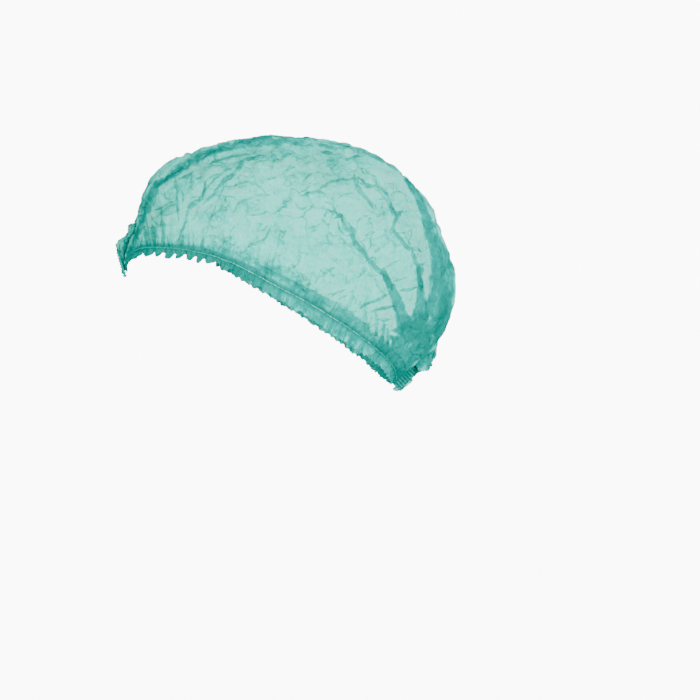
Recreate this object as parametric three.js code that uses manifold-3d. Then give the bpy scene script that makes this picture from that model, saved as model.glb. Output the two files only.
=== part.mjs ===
// Disposable pleated bouffant cap, in millimetres, +Z up.
// -Y is the forehead side and +Y the nape side. The origin is the middle of the head opening.
// The cap keeps the shape it has when worn: a thin cloth shell that is open below.
import * as THREE from 'three';
import Module from 'manifold-3d';

const wasm = await Module();
wasm.setup();

// Cloth sizes.
const WALL = 1.5;
const PLEATS = 10;
const PLEAT_SPAN = 0.94;
const PLEAT_JITTER = 0.16;
const CREASE_DEPTH = 0.55;
const STACK_GROWTH = 0.9;
const HOLLOW_DROP = 8;
const SLIVER = 0.02;

// Ruffles that the elastic gathers: stations along the rim, and how far each one is pushed out.
const STATIONS = 80;
const TOP_WEIGHT = 0.35;
const RUFFLE_AT_BAND = 0.4;
const RUFFLE_AT_MIDDLE = 0.9;
const RUFFLE_AT_EDGE = 1.9;
const EDGE_SCALLOP = 0.9;

// Elastic cord on the outside of the gathered waist.
const ELASTIC_RADIUS = 0.7;
const ELASTIC_GAP = 0.65;
const ELASTIC_SIDES = 6;
const ELASTIC_STEP = 2;
const ELASTIC_END_STATIONS = 2;

// Welded ends of the pleat stack.
const WELD_GAP = 0.35;
const WELD_RIB_PITCH = 2;
const WELD_RIB_DEPTH = 0.45;

// One row per section from the forehead weld (t = 0) to the nape weld (t = 1). Each section lies in
// the plane through its top point and its two rim points. Columns: t, top y and z, rim y and z,
// half width at the rim, bulge (share of the height below the widest level), pleat depth, frill drop.
const COLUMNS = ['t', 'topY', 'topZ', 'rimY', 'rimZ', 'half', 'bulge', 'pleat', 'frill'];
const SECTIONS = [
  [0.00, -90.0, 47.0, -86.3, 34.0, 1.6, 0.00, 0.2, 2.0],
  [0.04, -86.5, 57.0, -87.4, 43.8, 14, 0.02, 0.9, 4.2],
  [0.10, -78.5, 72.0, -82.9, 50.2, 33, 0.06, 1.6, 4.6],
  [0.20, -65.0, 97.5, -65.7, 52.7, 55, 0.12, 2.0, 4.8],
  [0.32, -36.0, 113.5, -39.4, 48.2, 69, 0.16, 1.6, 5.6],
  [0.45, 8.0, 120.8, -7.3, 33.8, 76, 0.20, 1.4, 7.0],
  [0.58, 54.5, 115.6, 22.5, 16.6, 76, 0.24, 1.5, 8.2],
  [0.70, 93.0, 94.8, 48.1, 1.1, 69, 0.26, 2.0, 8.6],
  [0.80, 115.8, 63.0, 65.6, -12.1, 57, 0.25, 2.6, 8.0],
  [0.88, 124.6, 30.0, 78.0, -23.4, 42, 0.22, 2.8, 7.0],
  [0.94, 120.5, -3.0, 84.8, -31.9, 23, 0.14, 2.0, 6.0],
  [1.00, 100.5, -26.5, 87.0, -39.5, 1.6, 0.00, 0.2, 2.5],
];

// Bunches of cloth that hang over the welds: outline in y and z, and half thickness there.
const FRONT_BUNCH = [
  [-90.4, 47.8, 1.3],
  [-94.0, 49.4, 1.6],
  [-92.6, 52.8, 3.2],
  [-89.0, 56.0, 5.0],
  [-84.5, 58.0, 6.5],
  [-84.5, 52.0, 5.0],
];
const BACK_BUNCH = [
  [101.6, -25.6, 1.4],
  [105.8, -29.6, 1.2],
  [111.5, -28.4, 2.6],
  [115.4, -20.5, 5.0],
  [117.0, -12.0, 7.5],
  [107.0, -10.0, 8.0],
];

// Materials.
const cloth = new THREE.MeshStandardMaterial({ name: 'nonwoven', color: 0x4fc4b4, roughness: 0.9, metalness: 0 });
const cord = new THREE.MeshStandardMaterial({ name: 'elastic', color: 0x9fdcd0, roughness: 0.7, metalness: 0 });
const seal = new THREE.MeshStandardMaterial({ name: 'weld', color: 0x0c9680, roughness: 0.45, metalness: 0 });

/** Repeatable noise in -1..1 from two whole numbers. */
function noise(a, b) {
  const s = Math.sin(a * 127.1 + b * 311.7) * 43758.5453;
  return 2 * (s - Math.floor(s)) - 1;
}

/** Smooth interpolation of one column of the section table at t. */
function column(name, t) {
  const c = COLUMNS.indexOf(name);
  const n = SECTIONS.length;
  let i = 0;
  while (i < n - 2 && t > SECTIONS[i + 1][0]) i += 1;
  const secant = (k) => (SECTIONS[k + 1][c] - SECTIONS[k][c]) / (SECTIONS[k + 1][0] - SECTIONS[k][0]);
  const slope = (k) => {
    if (k === 0) return secant(0);
    if (k === n - 1) return secant(n - 2);
    const before = SECTIONS[k][0] - SECTIONS[k - 1][0];
    const after = SECTIONS[k + 1][0] - SECTIONS[k][0];
    return (before * secant(k) + after * secant(k - 1)) / (before + after);
  };
  const span = SECTIONS[i + 1][0] - SECTIONS[i][0];
  const s = (t - SECTIONS[i][0]) / span;
  const a = SECTIONS[i][c];
  const b = SECTIONS[i + 1][c];
  const h = s * s * (3 - 2 * s);
  return a + (b - a) * h + span * s * (1 - s) * (slope(i) * (1 - s) - slope(i + 1) * s);
}

/** Point of the smooth cap at u (-1 rim, 0 top, 1 rim) and t. */
function surface(u, t) {
  const bulge = column('bulge', t);
  const open = Math.acos(-bulge / (1 - bulge));
  const angle = Math.abs(u) * open;
  const x = (column('half', t) / Math.sin(open)) * Math.sin(angle) * Math.sign(u);
  const rise = bulge + (1 - bulge) * Math.cos(angle);
  const rimY = column('rimY', t);
  const rimZ = column('rimZ', t);
  return new THREE.Vector3(
    x,
    rimY + (column('topY', t) - rimY) * rise,
    rimZ + (column('topZ', t) - rimZ) * rise,
  );
}

/** Outward unit normal of the smooth cap. */
function normal(u, t) {
  const e = 1e-4;
  const u0 = Math.max(u - e, -1);
  const u1 = Math.min(u + e, 1);
  const t0 = Math.max(t - e, 0);
  const t1 = Math.min(t + e, 1);
  const across = surface(u1, t).sub(surface(u0, t));
  const along = surface(u, t1).sub(surface(u, t0));
  return across.cross(along).normalize();
}

/** Section values t, spaced evenly by a blend of the rim length and the top length. */
function stations() {
  const fine = 2000;
  const run = [0];
  for (let i = 1; i <= fine; i += 1) {
    const a = (i - 1) / fine;
    const b = i / fine;
    const rim = surface(1, b).distanceTo(surface(1, a));
    const top = surface(0, b).distanceTo(surface(0, a));
    run.push(run[i - 1] + rim + TOP_WEIGHT * top);
  }
  const out = [];
  let i = 0;
  for (let j = 0; j <= STATIONS; j += 1) {
    const goal = (run[fine] * j) / STATIONS;
    while (i < fine && run[i] < goal) i += 1;
    out.push(i / fine);
  }
  return out;
}

const T = stations();

/** Smooth step from 0 at the welds to 1 where the cloth has opened out. */
function opened(t) {
  const s = THREE.MathUtils.clamp((column('half', t) - 2) / 26, 0, 1);
  return s * s * (3 - 2 * s);
}

/** The lines that run from weld to weld: waist, band, folds, band, waist, with frill lines outside. */
function lines() {
  const folds = [];
  for (let k = 0; k <= 2 * PLEATS; k += 1) {
    const u = -PLEAT_SPAN + (2 * PLEAT_SPAN * k) / (2 * PLEATS);
    folds.push({ u, fold: k, side: 0, drop: 0 });
  }
  return [
    { u: -1, fold: -1, side: -1, drop: 1 },
    { u: -1, fold: -1, side: -1, drop: 0.5 },
    { u: -1, fold: -1, side: -1, drop: 0 },
    ...folds,
    { u: 1, fold: -1, side: 1, drop: 0 },
    { u: 1, fold: -1, side: 1, drop: 0.5 },
    { u: 1, fold: -1, side: 1, drop: 1 },
  ];
}

const LINES = lines();

/** Vertex of the cloth at a line and a station, pushed inwards by depth. */
function clothPoint(line, j, depth) {
  const t = T[j];
  const free = opened(t);
  const ripple = (j % 2 ? 1 : -1) * free;
  let u = line.u;
  let push = 0;
  if (line.fold >= 0) {
    const edge = line.fold === 0 || line.fold === 2 * PLEATS;
    const side = line.fold % 2 ? 1 : -1;
    const step = PLEAT_SPAN / PLEATS;
    u += edge ? 0 : step * PLEAT_JITTER * free * noise(line.fold, 3);
    push = edge ? 0 : side * column('pleat', t) * (1 + 0.35 * noise(line.fold, 7));
    push += edge ? RUFFLE_AT_BAND * ripple : CREASE_DEPTH * free * noise(line.fold, j);
  } else if (line.drop > 0) {
    push = ripple * (line.drop < 1 ? RUFFLE_AT_MIDDLE : RUFFLE_AT_EDGE);
    push *= 1 + 0.3 * noise(line.side, j);
  }
  const point = surface(u, t).addScaledVector(normal(u, t), push - depth);
  const down = surface(1, t).add(surface(-1, t)).multiplyScalar(0.5).sub(surface(0, t)).normalize();
  const scallop = line.drop === 1 ? ripple * EDGE_SCALLOP : 0;
  return point.addScaledVector(down, line.drop * column('frill', t) + scallop);
}

/** Closed body from a grid of rings, each a closed loop of points. */
function loft(rings) {
  const count = rings[0].length;
  const points = [];
  const faces = [];
  rings.forEach((ring) => ring.forEach((p) => points.push(p)));
  for (let r = 0; r < rings.length - 1; r += 1) {
    for (let i = 0; i < count; i += 1) {
      const k = (i + 1) % count;
      const a = r * count + i;
      const b = r * count + k;
      const c = a + count;
      const d = b + count;
      if ((r + i) % 2) faces.push([a, b, c], [b, d, c]);
      else faces.push([a, b, d], [a, d, c]);
    }
  }
  const ends = [[0, true], [rings.length - 1, false]];
  ends.forEach(([r, flip]) => {
    const first = r * count;
    for (let i = 0; i < count - 2 - i; i += 1) {
      const a = first + i;
      const b = first + i + 1;
      const c = first + count - 1 - i;
      const d = first + count - 2 - i;
      const set = [[a, c, b], [b, c, d]];
      set.forEach(([p, q, s]) => {
        if (p !== q && q !== s && p !== s) faces.push(flip ? [p, q, s] : [p, s, q]);
      });
    }
  });
  return { points, faces };
}

/** Manifold body of a loft, turned outward if it came out inside out. */
function solid({ points, faces }) {
  const build = (list) => new wasm.Manifold(new wasm.Mesh({
    numProp: 3,
    vertProperties: new Float32Array(points.flatMap((p) => [p.x, p.y, p.z])),
    triVerts: new Uint32Array(list.flat()),
  }));
  const body = build(faces);
  return body.volume() > 0 ? body : build(faces.map(([a, b, c]) => [a, c, b]));
}

/** Mesh of a manifold body. */
function toMesh(name, body, material) {
  const data = body.getMesh();
  const geometry = new THREE.BufferGeometry();
  geometry.setAttribute('position', new THREE.BufferAttribute(new Float32Array(data.vertProperties), 3));
  geometry.setIndex(Array.from(data.triVerts));
  geometry.computeVertexNormals();
  const mesh = new THREE.Mesh(geometry, material);
  mesh.name = name;
  return mesh;
}

/** Outer body of the cap, solid right through. */
function crownOutside() {
  return solid(loft(T.map((_, j) => LINES.map((line) => clothPoint(line, j, 0)))));
}

/** The hollow inside, run down past the frill so that it opens below. */
function crownInside() {
  const rings = T.map((t, j) => LINES.map((line) => {
    const point = clothPoint(line, j, WALL * (1 + STACK_GROWTH * (1 - opened(t))));
    if (line.drop < 1) return point;
    const down = surface(1, t).add(surface(-1, t)).multiplyScalar(0.5).sub(surface(0, t)).normalize();
    return point.addScaledVector(down, HOLLOW_DROP);
  }));
  return solid(loft(rings));
}

/** The main body of a cut, without slivers and sealed pockets. */
function largest(body) {
  const bodies = body.simplify(SLIVER).decompose();
  return bodies.reduce((best, next) => (next.volume() > best.volume() ? next : best));
}

/** Bunch of cloth that hangs over a weld. */
function bunch(outline) {
  const points = [];
  outline.forEach(([y, z, half]) => {
    points.push([half, y, z], [-half, y, z]);
  });
  return wasm.Manifold.hull(points);
}

/** Cord that follows one waist line. */
function elastic(name, side) {
  const rings = [];
  for (let j = ELASTIC_END_STATIONS; j <= STATIONS - ELASTIC_END_STATIONS; j += ELASTIC_STEP) {
    const t = T[j];
    const out = normal(side, t);
    const along = surface(side, Math.min(t + 1e-3, 1)).sub(surface(side, Math.max(t - 1e-3, 0))).normalize();
    const across = along.clone().cross(out).normalize();
    const centre = surface(side, t).addScaledVector(out, ELASTIC_GAP + ELASTIC_RADIUS);
    const ring = [];
    for (let i = 0; i < ELASTIC_SIDES; i += 1) {
      const a = (2 * Math.PI * (i + 0.5)) / ELASTIC_SIDES;
      ring.push(centre.clone()
        .addScaledVector(out, ELASTIC_RADIUS * Math.cos(a))
        .addScaledVector(across, ELASTIC_RADIUS * Math.sin(a)));
    }
    rings.push(ring);
  }
  return toMesh(name, solid(loft(rings)), cord);
}

/** Ribbed strip: length along the ribs' row, width along each rib, with a thin cut edge beyond it. */
function weldStrip({ length, width, thick, edge, edgeThick }) {
  const half = thick / 2;
  const count = Math.round(length / WELD_RIB_PITCH);
  const upper = [];
  const lower = [];
  for (let i = 0; i <= count; i += 1) {
    const at = -length / 2 + (i * length) / count;
    upper.push([at, half - WELD_RIB_DEPTH]);
    lower.push([at, -half + WELD_RIB_DEPTH]);
    if (i < count) {
      const mid = at + length / count / 2;
      upper.push([mid, half]);
      lower.push([mid, -half]);
    }
  }
  const profile = new wasm.CrossSection([lower.concat(upper.reverse())]);
  const strip = wasm.Manifold.extrude(profile, width);
  const rim = wasm.Manifold.cube([length - 1, edgeThick, edge + 0.5], true)
    .translate([0, 0, width + edge / 2 - 0.25]);
  return strip.add(rim);
}

/** Places a strip: its length runs along a, its thickness along b and its width along c. */
function place(body, origin, a, b, c) {
  return body.transform([
    a.x, a.y, a.z, 0,
    b.x, b.y, b.z, 0,
    c.x, c.y, c.z, 0,
    origin.x, origin.y, origin.z, 1,
  ]);
}

/** Weld at the nape: a fin in the middle plane, below and behind the end of the crown. */
function weldBack() {
  const rim = surface(1, 1).setX(0);
  const top = surface(0, 1);
  const a = top.clone().sub(rim).normalize();
  const b = new THREE.Vector3(1, 0, 0);
  const c = new THREE.Vector3(0, a.z, -a.y);
  const origin = rim.clone().lerp(top, 0.5).addScaledVector(c, WELD_GAP + 0.6).addScaledVector(a, 0.4);
  const strip = weldStrip({ length: 19, width: 5.6, thick: 3.2, edge: 2, edgeThick: 1.4 });
  return toMesh('weld_back', place(strip, origin, a, c.clone().cross(a).dot(b) > 0 ? b : b.negate(), c), seal);
}

/** Weld at the forehead: the same strip folded flat against the front of the crown. */
function weldFront() {
  const rim = surface(1, 0).setX(0);
  const top = surface(0, 0);
  const a = top.clone().sub(rim).normalize();
  const out = new THREE.Vector3(0, -a.z, a.y);
  const c = new THREE.Vector3(-1, 0, 0);
  const b = c.clone().cross(a).normalize();
  const origin = rim.clone().lerp(top, 0.5).addScaledVector(out, WELD_GAP + 1.6)
    .addScaledVector(a, -1).setX(2.4);
  const strip = weldStrip({ length: 17, width: 5.4, thick: 2.2, edge: 1.6, edgeThick: 1.2 });
  return toMesh('weld_front', place(strip, origin, a, b, c), seal);
}

const shell = crownOutside().subtract(crownInside());
const crown = largest(shell.add(bunch(FRONT_BUNCH)).add(bunch(BACK_BUNCH)));

const part = new THREE.Group();
part.name = 'clip_cap';
part.add(
  toMesh('crown', crown, cloth),
  elastic('elastic_left', 1),
  elastic('elastic_right', -1),
  weldFront(),
  weldBack(),
);

export default part;
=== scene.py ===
"""Disposable pleated bouffant cap of turquoise nonwoven cloth, dressed for a studio render.

The cap is shown in its worn form: a thin puffed crown whose pleats meet in a weld at the forehead
and at the nape, and two elastics that gather its edge into a frill. Lengths are millimetres up to
the point where a mesh is made, and metres from there on.
"""

from __future__ import annotations

import logging
import math
from dataclasses import dataclass, field
from enum import Enum

import bmesh
import bpy
import numpy as np
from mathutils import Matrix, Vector
from mathutils.bvhtree import BVHTree

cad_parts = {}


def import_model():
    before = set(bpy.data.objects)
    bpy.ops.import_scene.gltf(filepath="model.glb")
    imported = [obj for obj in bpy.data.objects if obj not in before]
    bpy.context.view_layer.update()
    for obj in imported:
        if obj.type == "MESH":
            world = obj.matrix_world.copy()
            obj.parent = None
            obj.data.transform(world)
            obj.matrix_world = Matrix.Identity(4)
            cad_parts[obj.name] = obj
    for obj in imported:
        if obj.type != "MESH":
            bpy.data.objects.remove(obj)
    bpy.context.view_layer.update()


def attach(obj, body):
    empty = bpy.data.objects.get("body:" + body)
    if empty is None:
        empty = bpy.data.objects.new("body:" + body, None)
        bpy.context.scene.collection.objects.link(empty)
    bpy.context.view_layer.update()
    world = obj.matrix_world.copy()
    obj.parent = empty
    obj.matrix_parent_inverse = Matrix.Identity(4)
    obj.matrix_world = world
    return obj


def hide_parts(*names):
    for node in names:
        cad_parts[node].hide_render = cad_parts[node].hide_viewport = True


LOG = logging.getLogger("clip_cap")
MM = 0.001
# Length over the top from weld to weld, in mm, which t = 0 to 1 stands for in the noise.
WELD_TO_WELD = 370.0
# Limits of the layer count: its most anywhere, and its least on the small pieces.
MOST_LAYERS = 9.0
THINNEST_PIECE = 0.6
# Place on the hem's map, in metres, that no gather or seam reaches.
FAR_FROM_HEM = (0.0, 0.2)


class Side(Enum):
    """The wearer's left and right, as the sign of x."""

    LEFT = 1
    RIGHT = -1


class Slot(Enum):
    """Material slots of the record."""

    NONWOVEN = "nonwoven"
    ELASTIC = "elastic"
    WELD = "weld"


def smooth(low: float, high: float, value: np.ndarray) -> np.ndarray:
    """Smooth step from 0 at low to 1 at high.

    Args:
        low: Value at which the step starts.
        high: Value at which the step ends.
        value: Values to step.

    Returns:
        The stepped values.
    """
    s = np.clip((np.asarray(value, float) - low) / (high - low), 0.0, 1.0)
    return s * s * (3.0 - 2.0 * s)


def hashed(cells: np.ndarray, seed: int) -> np.ndarray:
    """Repeatable random numbers in 0..1 for whole-number cells.

    Args:
        cells: Whole numbers, of any shape, with the three coordinates last.
        seed: Which set of random numbers.

    Returns:
        One number for each cell.
    """
    c = cells.astype(np.int64).astype(np.uint32)
    h = c[..., 0] * np.uint32(374761393) + c[..., 1] * np.uint32(668265263)
    h = h + c[..., 2] * np.uint32(2147483647) + np.uint32((seed * 974634777) & 0xFFFFFFFF)
    h = (h ^ (h >> np.uint32(13))) * np.uint32(1274126177)
    h = h ^ (h >> np.uint32(16))
    return h.astype(np.float64) / 4294967295.0


def value_noise(points: np.ndarray, size: float, seed: int) -> np.ndarray:
    """Smooth noise in -1..1.

    Args:
        points: Points in millimetres, coordinates last.
        size: Size of one lump in millimetres.
        seed: Which noise.

    Returns:
        One number for each point.
    """
    q = points / size
    cell = np.floor(q)
    f = q - cell
    f = f * f * (3.0 - 2.0 * f)
    total = np.zeros(points.shape[:-1])
    for dx in (0, 1):
        for dy in (0, 1):
            for dz in (0, 1):
                weight = np.abs(1 - dx - f[..., 0]) * np.abs(1 - dy - f[..., 1])
                weight = weight * np.abs(1 - dz - f[..., 2])
                total += weight * hashed(cell + np.array([dx, dy, dz]), seed)
    return 2.0 * total - 1.0


def cell_edges(points: np.ndarray, size: float, seed: int) -> np.ndarray:
    """Rough distance to the border of the nearest random cell.

    Args:
        points: Points in millimetres, coordinates last.
        size: Mean size of a cell in millimetres.
        seed: Which cells.

    Returns:
        Distance in millimetres for each point.
    """
    q = points / size
    home = np.floor(q)
    first = np.full(points.shape[:-1], 9.0)
    second = np.full(points.shape[:-1], 9.0)
    for dx in (-1, 0, 1):
        for dy in (-1, 0, 1):
            for dz in (-1, 0, 1):
                cell = home + np.array([dx, dy, dz])
                spot = cell + np.stack([hashed(cell, seed + k) for k in range(3)], axis=-1)
                gap = np.linalg.norm(q - spot, axis=-1)
                second = np.minimum(second, np.maximum(first, gap))
                first = np.minimum(first, gap)
    return 0.5 * (second - first) * size


def run_along(points: np.ndarray) -> np.ndarray:
    """Length of a line up to each of its points."""
    return np.concatenate([[0.0], np.cumsum(np.linalg.norm(np.diff(points, axis=0), axis=1))])


def along_line(at: np.ndarray, run: np.ndarray, points: np.ndarray) -> np.ndarray:
    """Points of a line at the given lengths of its run."""
    return np.stack([np.interp(at, run, column) for column in points.T], axis=-1)


def unit(vectors: np.ndarray) -> np.ndarray:
    """The same directions with length 1, coordinates last."""
    return vectors / np.linalg.norm(vectors, axis=-1, keepdims=True)


def spots_at(*coordinates: np.ndarray | float) -> np.ndarray:
    """Points from their coordinates, which may be arrays or plain numbers."""
    return np.stack(np.broadcast_arrays(*coordinates), axis=-1)


def eased(knots: np.ndarray, run: np.ndarray, slopes: np.ndarray, at: np.ndarray, bend: float) -> np.ndarray:
    """Values between knots on a smooth cubic curve.

    Args:
        knots: Values at the knots, one row each.
        run: Place of each knot.
        slopes: Slope at each knot.
        at: Places to read.
        bend: Share of the slopes that is kept.

    Returns:
        One row of values for each place, values last.
    """
    i = np.clip(np.searchsorted(run, at, side="right") - 1, 0, len(run) - 2)
    span = (run[i + 1] - run[i])[..., None]
    s = (at - run[i])[..., None] / span
    ease = s * s * (3.0 - 2.0 * s)
    turn = span * s * (1.0 - s) * (slopes[i] * (1.0 - s) - slopes[i + 1] * s)
    return knots[i] + (knots[i + 1] - knots[i]) * ease + bend * turn


class ClothPiece:
    """Any piece of the cap that is made of its nonwoven cloth."""

    def dress(self, piece: bpy.types.Object, material: bpy.types.Material, node: str = "crown") -> None:
        """Gives a piece the cloth's finish and its place in the frame.

        Args:
            piece: The object from build.
            material: The nonwoven finish.
            node: The CAD node that it stands for.
        """
        piece.data.materials.append(material)
        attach(piece, "root")
        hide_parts(node)


@dataclass(frozen=True)
class CapForm:
    """Smooth form of the worn cap, by sections from the forehead weld (t = 0) to the nape weld.

    Each row of sections holds t, top y and z, rim y and z, half width at the rim, bulge and
    frill drop, in millimetres.
    """

    names: tuple[str, ...] = ("t", "top_y", "top_z", "rim_y", "rim_z", "half", "bulge", "frill")
    sections: tuple[tuple[float, ...], ...] = (
        (0.00, -90.0, 47.0, -86.3, 34.0, 1.6, 0.00, 2.0),
        (0.04, -86.5, 57.0, -87.4, 43.8, 14.0, 0.02, 4.2),
        (0.10, -78.5, 72.0, -82.9, 50.2, 33.0, 0.06, 4.6),
        (0.20, -65.0, 97.5, -65.7, 52.7, 55.0, 0.12, 4.8),
        (0.32, -36.0, 113.5, -39.4, 48.2, 69.0, 0.16, 5.6),
        (0.45, 8.0, 120.8, -7.3, 33.8, 76.0, 0.20, 7.0),
        (0.58, 54.5, 115.6, 22.5, 16.6, 76.0, 0.24, 8.2),
        (0.70, 93.0, 94.8, 48.1, 1.1, 69.0, 0.26, 8.6),
        (0.80, 115.8, 63.0, 65.6, -12.1, 57.0, 0.25, 8.0),
        (0.88, 124.6, 30.0, 78.0, -23.4, 42.0, 0.22, 7.0),
        (0.94, 120.5, -3.0, 84.8, -31.9, 23.0, 0.14, 6.0),
        (1.00, 100.5, -26.5, 87.0, -39.5, 1.6, 0.00, 2.5),
    )

    def column(self, name: str, t: np.ndarray) -> np.ndarray:
        """One column of the table, smoothly interpolated.

        Args:
            name: Name of the column.
            t: Where along the cap, 0 to 1.

        Returns:
            The column's value at each t.
        """
        table = np.array(self.sections)
        knots = table[:, 0]
        values = table[:, self.names.index(name)]
        spans = np.diff(knots)
        secants = np.diff(values) / spans
        slopes = np.empty_like(values)
        slopes[0], slopes[-1] = secants[0], secants[-1]
        slopes[1:-1] = (spans[:-1] * secants[1:] + spans[1:] * secants[:-1]) / (spans[:-1] + spans[1:])
        t = np.clip(np.asarray(t, float), 0.0, 1.0)
        return eased(values[:, None], knots, slopes[:, None], t, 1.0)[..., 0]

    def surface(self, u: np.ndarray, t: np.ndarray) -> np.ndarray:
        """Points of the smooth cap.

        Args:
            u: Across the cap, from -1 at the right rim to 1 at the left rim.
            t: Along the cap.

        Returns:
            Points in millimetres, coordinates last.
        """
        u, t = np.broadcast_arrays(np.asarray(u, float), np.asarray(t, float))
        bulge = self.column("bulge", t)
        reach = np.arccos(-bulge / (1.0 - bulge))
        angle = np.abs(u) * reach
        x = self.column("half", t) / np.sin(reach) * np.sin(angle) * np.sign(u)
        rise = bulge + (1.0 - bulge) * np.cos(angle)
        rim_y, rim_z = self.column("rim_y", t), self.column("rim_z", t)
        y = rim_y + (self.column("top_y", t) - rim_y) * rise
        z = rim_z + (self.column("top_z", t) - rim_z) * rise
        return np.stack([x, y, z], axis=-1)

    def normal(self, u: np.ndarray, t: np.ndarray) -> np.ndarray:
        """Outward unit normals of the smooth cap.

        Args:
            u: Across the cap.
            t: Along the cap.

        Returns:
            Unit vectors, coordinates last.
        """
        e = 1e-4
        across = self.surface(np.minimum(u + e, 1.0), t) - self.surface(np.maximum(u - e, -1.0), t)
        along = self.surface(u, np.minimum(t + e, 1.0)) - self.surface(u, np.maximum(t - e, 0.0))
        return unit(np.cross(across, along))

    def down(self, t: np.ndarray) -> np.ndarray:
        """Unit vectors from the top towards the rim, within each section."""
        d = self.surface(np.ones_like(t), t) - self.surface(np.zeros_like(t), t)
        d[..., 0] = 0.0
        return unit(d)

    def stations(self, count: int, top_share: float) -> np.ndarray:
        """Values of t spaced evenly by a blend of rim length and top length.

        Args:
            count: How many steps.
            top_share: Weight of the top length beside the rim length.

        Returns:
            count + 1 values of t.
        """
        fine = np.linspace(0.0, 1.0, 4001)
        rim = np.linalg.norm(np.diff(self.surface(np.ones_like(fine), fine), axis=0), axis=1)
        top = np.linalg.norm(np.diff(self.surface(np.zeros_like(fine), fine), axis=0), axis=1)
        run = np.concatenate([[0.0], np.cumsum(rim + top_share * top)])
        return np.interp(np.linspace(0.0, run[-1], count + 1), run, fine)


@dataclass(frozen=True)
class Fold:
    """One pleat that stays folded over, from weld to weld.

    Attributes:
        path: Pairs of t and u that it runs through.
        widths: Pairs of t and overlap in millimetres; below zero the pleat has opened flat.
        seed: Which wander it gets.
    """

    path: tuple[tuple[float, float], ...]
    widths: tuple[tuple[float, float], ...]
    seed: int

    def across(self, t: np.ndarray) -> np.ndarray:
        """Its u at each t."""
        knots = np.array(self.path)
        return np.interp(t, knots[:, 0], knots[:, 1])

    def overlap(self, t: np.ndarray) -> np.ndarray:
        """Its overlap at each t, in millimetres."""
        knots = np.array(self.widths)
        return np.interp(t, knots[:, 0], knots[:, 1])

    def opposite(self) -> Fold:
        """The matching pleat on the other side of the cap, a little less regular."""
        path = []
        for t, u in self.path:
            path.append((t, max(-u * (1.0 + 0.06 * math.sin(9.0 * t + self.seed)), -0.965)))
        widths = []
        for t, width in self.widths:
            widths.append((t, width * (1.0 + 0.3 * math.sin(7.0 * t + 2.0 * self.seed))))
        return Fold(tuple(path), tuple(widths), self.seed + 20)


NEAR_FOLDS = (
    Fold(
        ((0.0, 0.10), (0.3, 0.08), (0.5, 0.05), (0.7, 0.06), (0.85, 0.12), (0.94, 0.20), (1.0, 0.20)),
        ((0.0, 1.0), (0.05, 2.4), (0.15, 1.6), (0.3, 1.0), (0.5, 0.6), (0.7, 0.8), (0.85, 2.4), (1.0, 1.0)),
        11,
    ),
    Fold(
        ((0.0, 0.28), (0.08, 0.30), (0.15, 0.33), (0.22, 0.30), (0.30, 0.22), (0.38, 0.15), (0.45, 0.12),
         (0.60, 0.12), (0.70, 0.20), (0.77, 0.25), (0.823, 0.365), (0.875, 0.475), (0.94, 0.46), (1.0, 0.44)),
        ((0.0, 1.0), (0.04, 4.0), (0.10, 7.0), (0.20, 8.0), (0.30, 7.0), (0.40, 6.0), (0.50, 3.0),
         (0.60, 2.0), (0.70, 4.0), (0.77, 8.0), (0.85, 9.0), (0.94, 5.0), (1.0, 1.0)),
        12,
    ),
    Fold(
        ((0.0, 0.46), (0.10, 0.56), (0.20, 0.70), (0.25, 0.675), (0.288, 0.59), (0.323, 0.49), (0.36, 0.40),
         (0.45, 0.36), (0.55, 0.34), (0.655, 0.365), (0.705, 0.51), (0.775, 0.59), (0.812, 0.62),
         (0.87, 0.665), (1.0, 0.64)),
        ((0.0, 1.0), (0.06, 2.0), (0.16, 0.8), (0.24, 1.0), (0.32, 1.4), (0.38, 0.4), (0.46, -0.4),
         (0.60, 0.4), (0.66, 2.6), (0.72, 1.8), (0.78, 2.2), (0.82, 4.0), (0.90, 4.0), (1.0, 1.0)),
        13,
    ),
    Fold(
        ((0.0, 0.64), (0.10, 0.72), (0.20, 0.81), (0.25, 0.80), (0.32, 0.74), (0.42, 0.66), (0.50, 0.60),
         (0.578, 0.595), (0.62, 0.67), (0.718, 0.785), (0.78, 0.80), (0.828, 0.84), (0.90, 0.86),
         (1.0, 0.83)),
        ((0.0, 1.0), (0.08, 1.6), (0.18, 0.6), (0.30, -0.4), (0.50, -0.4), (0.56, 1.2), (0.60, 3.4),
         (0.66, 1.4), (0.72, 1.6), (0.76, 2.4), (0.80, 4.2), (0.88, 5.0), (0.94, 3.0), (1.0, 1.0)),
        14,
    ),
    Fold(
        ((0.0, 0.88), (0.20, 0.93), (0.50, 0.95), (0.70, 0.952), (0.85, 0.945), (1.0, 0.94)),
        ((0.0, 0.6), (0.10, 0.3), (0.30, -0.4), (0.45, 1.0), (0.56, 2.6), (0.72, 4.0), (0.86, 3.6),
         (1.0, 0.8)),
        15,
    ),
)


def all_folds() -> tuple[Fold, ...]:
    """Every pleat of the cap that stays folded, from the right rim to the left rim."""
    return tuple(fold.opposite() for fold in reversed(NEAR_FOLDS)) + NEAR_FOLDS


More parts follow.
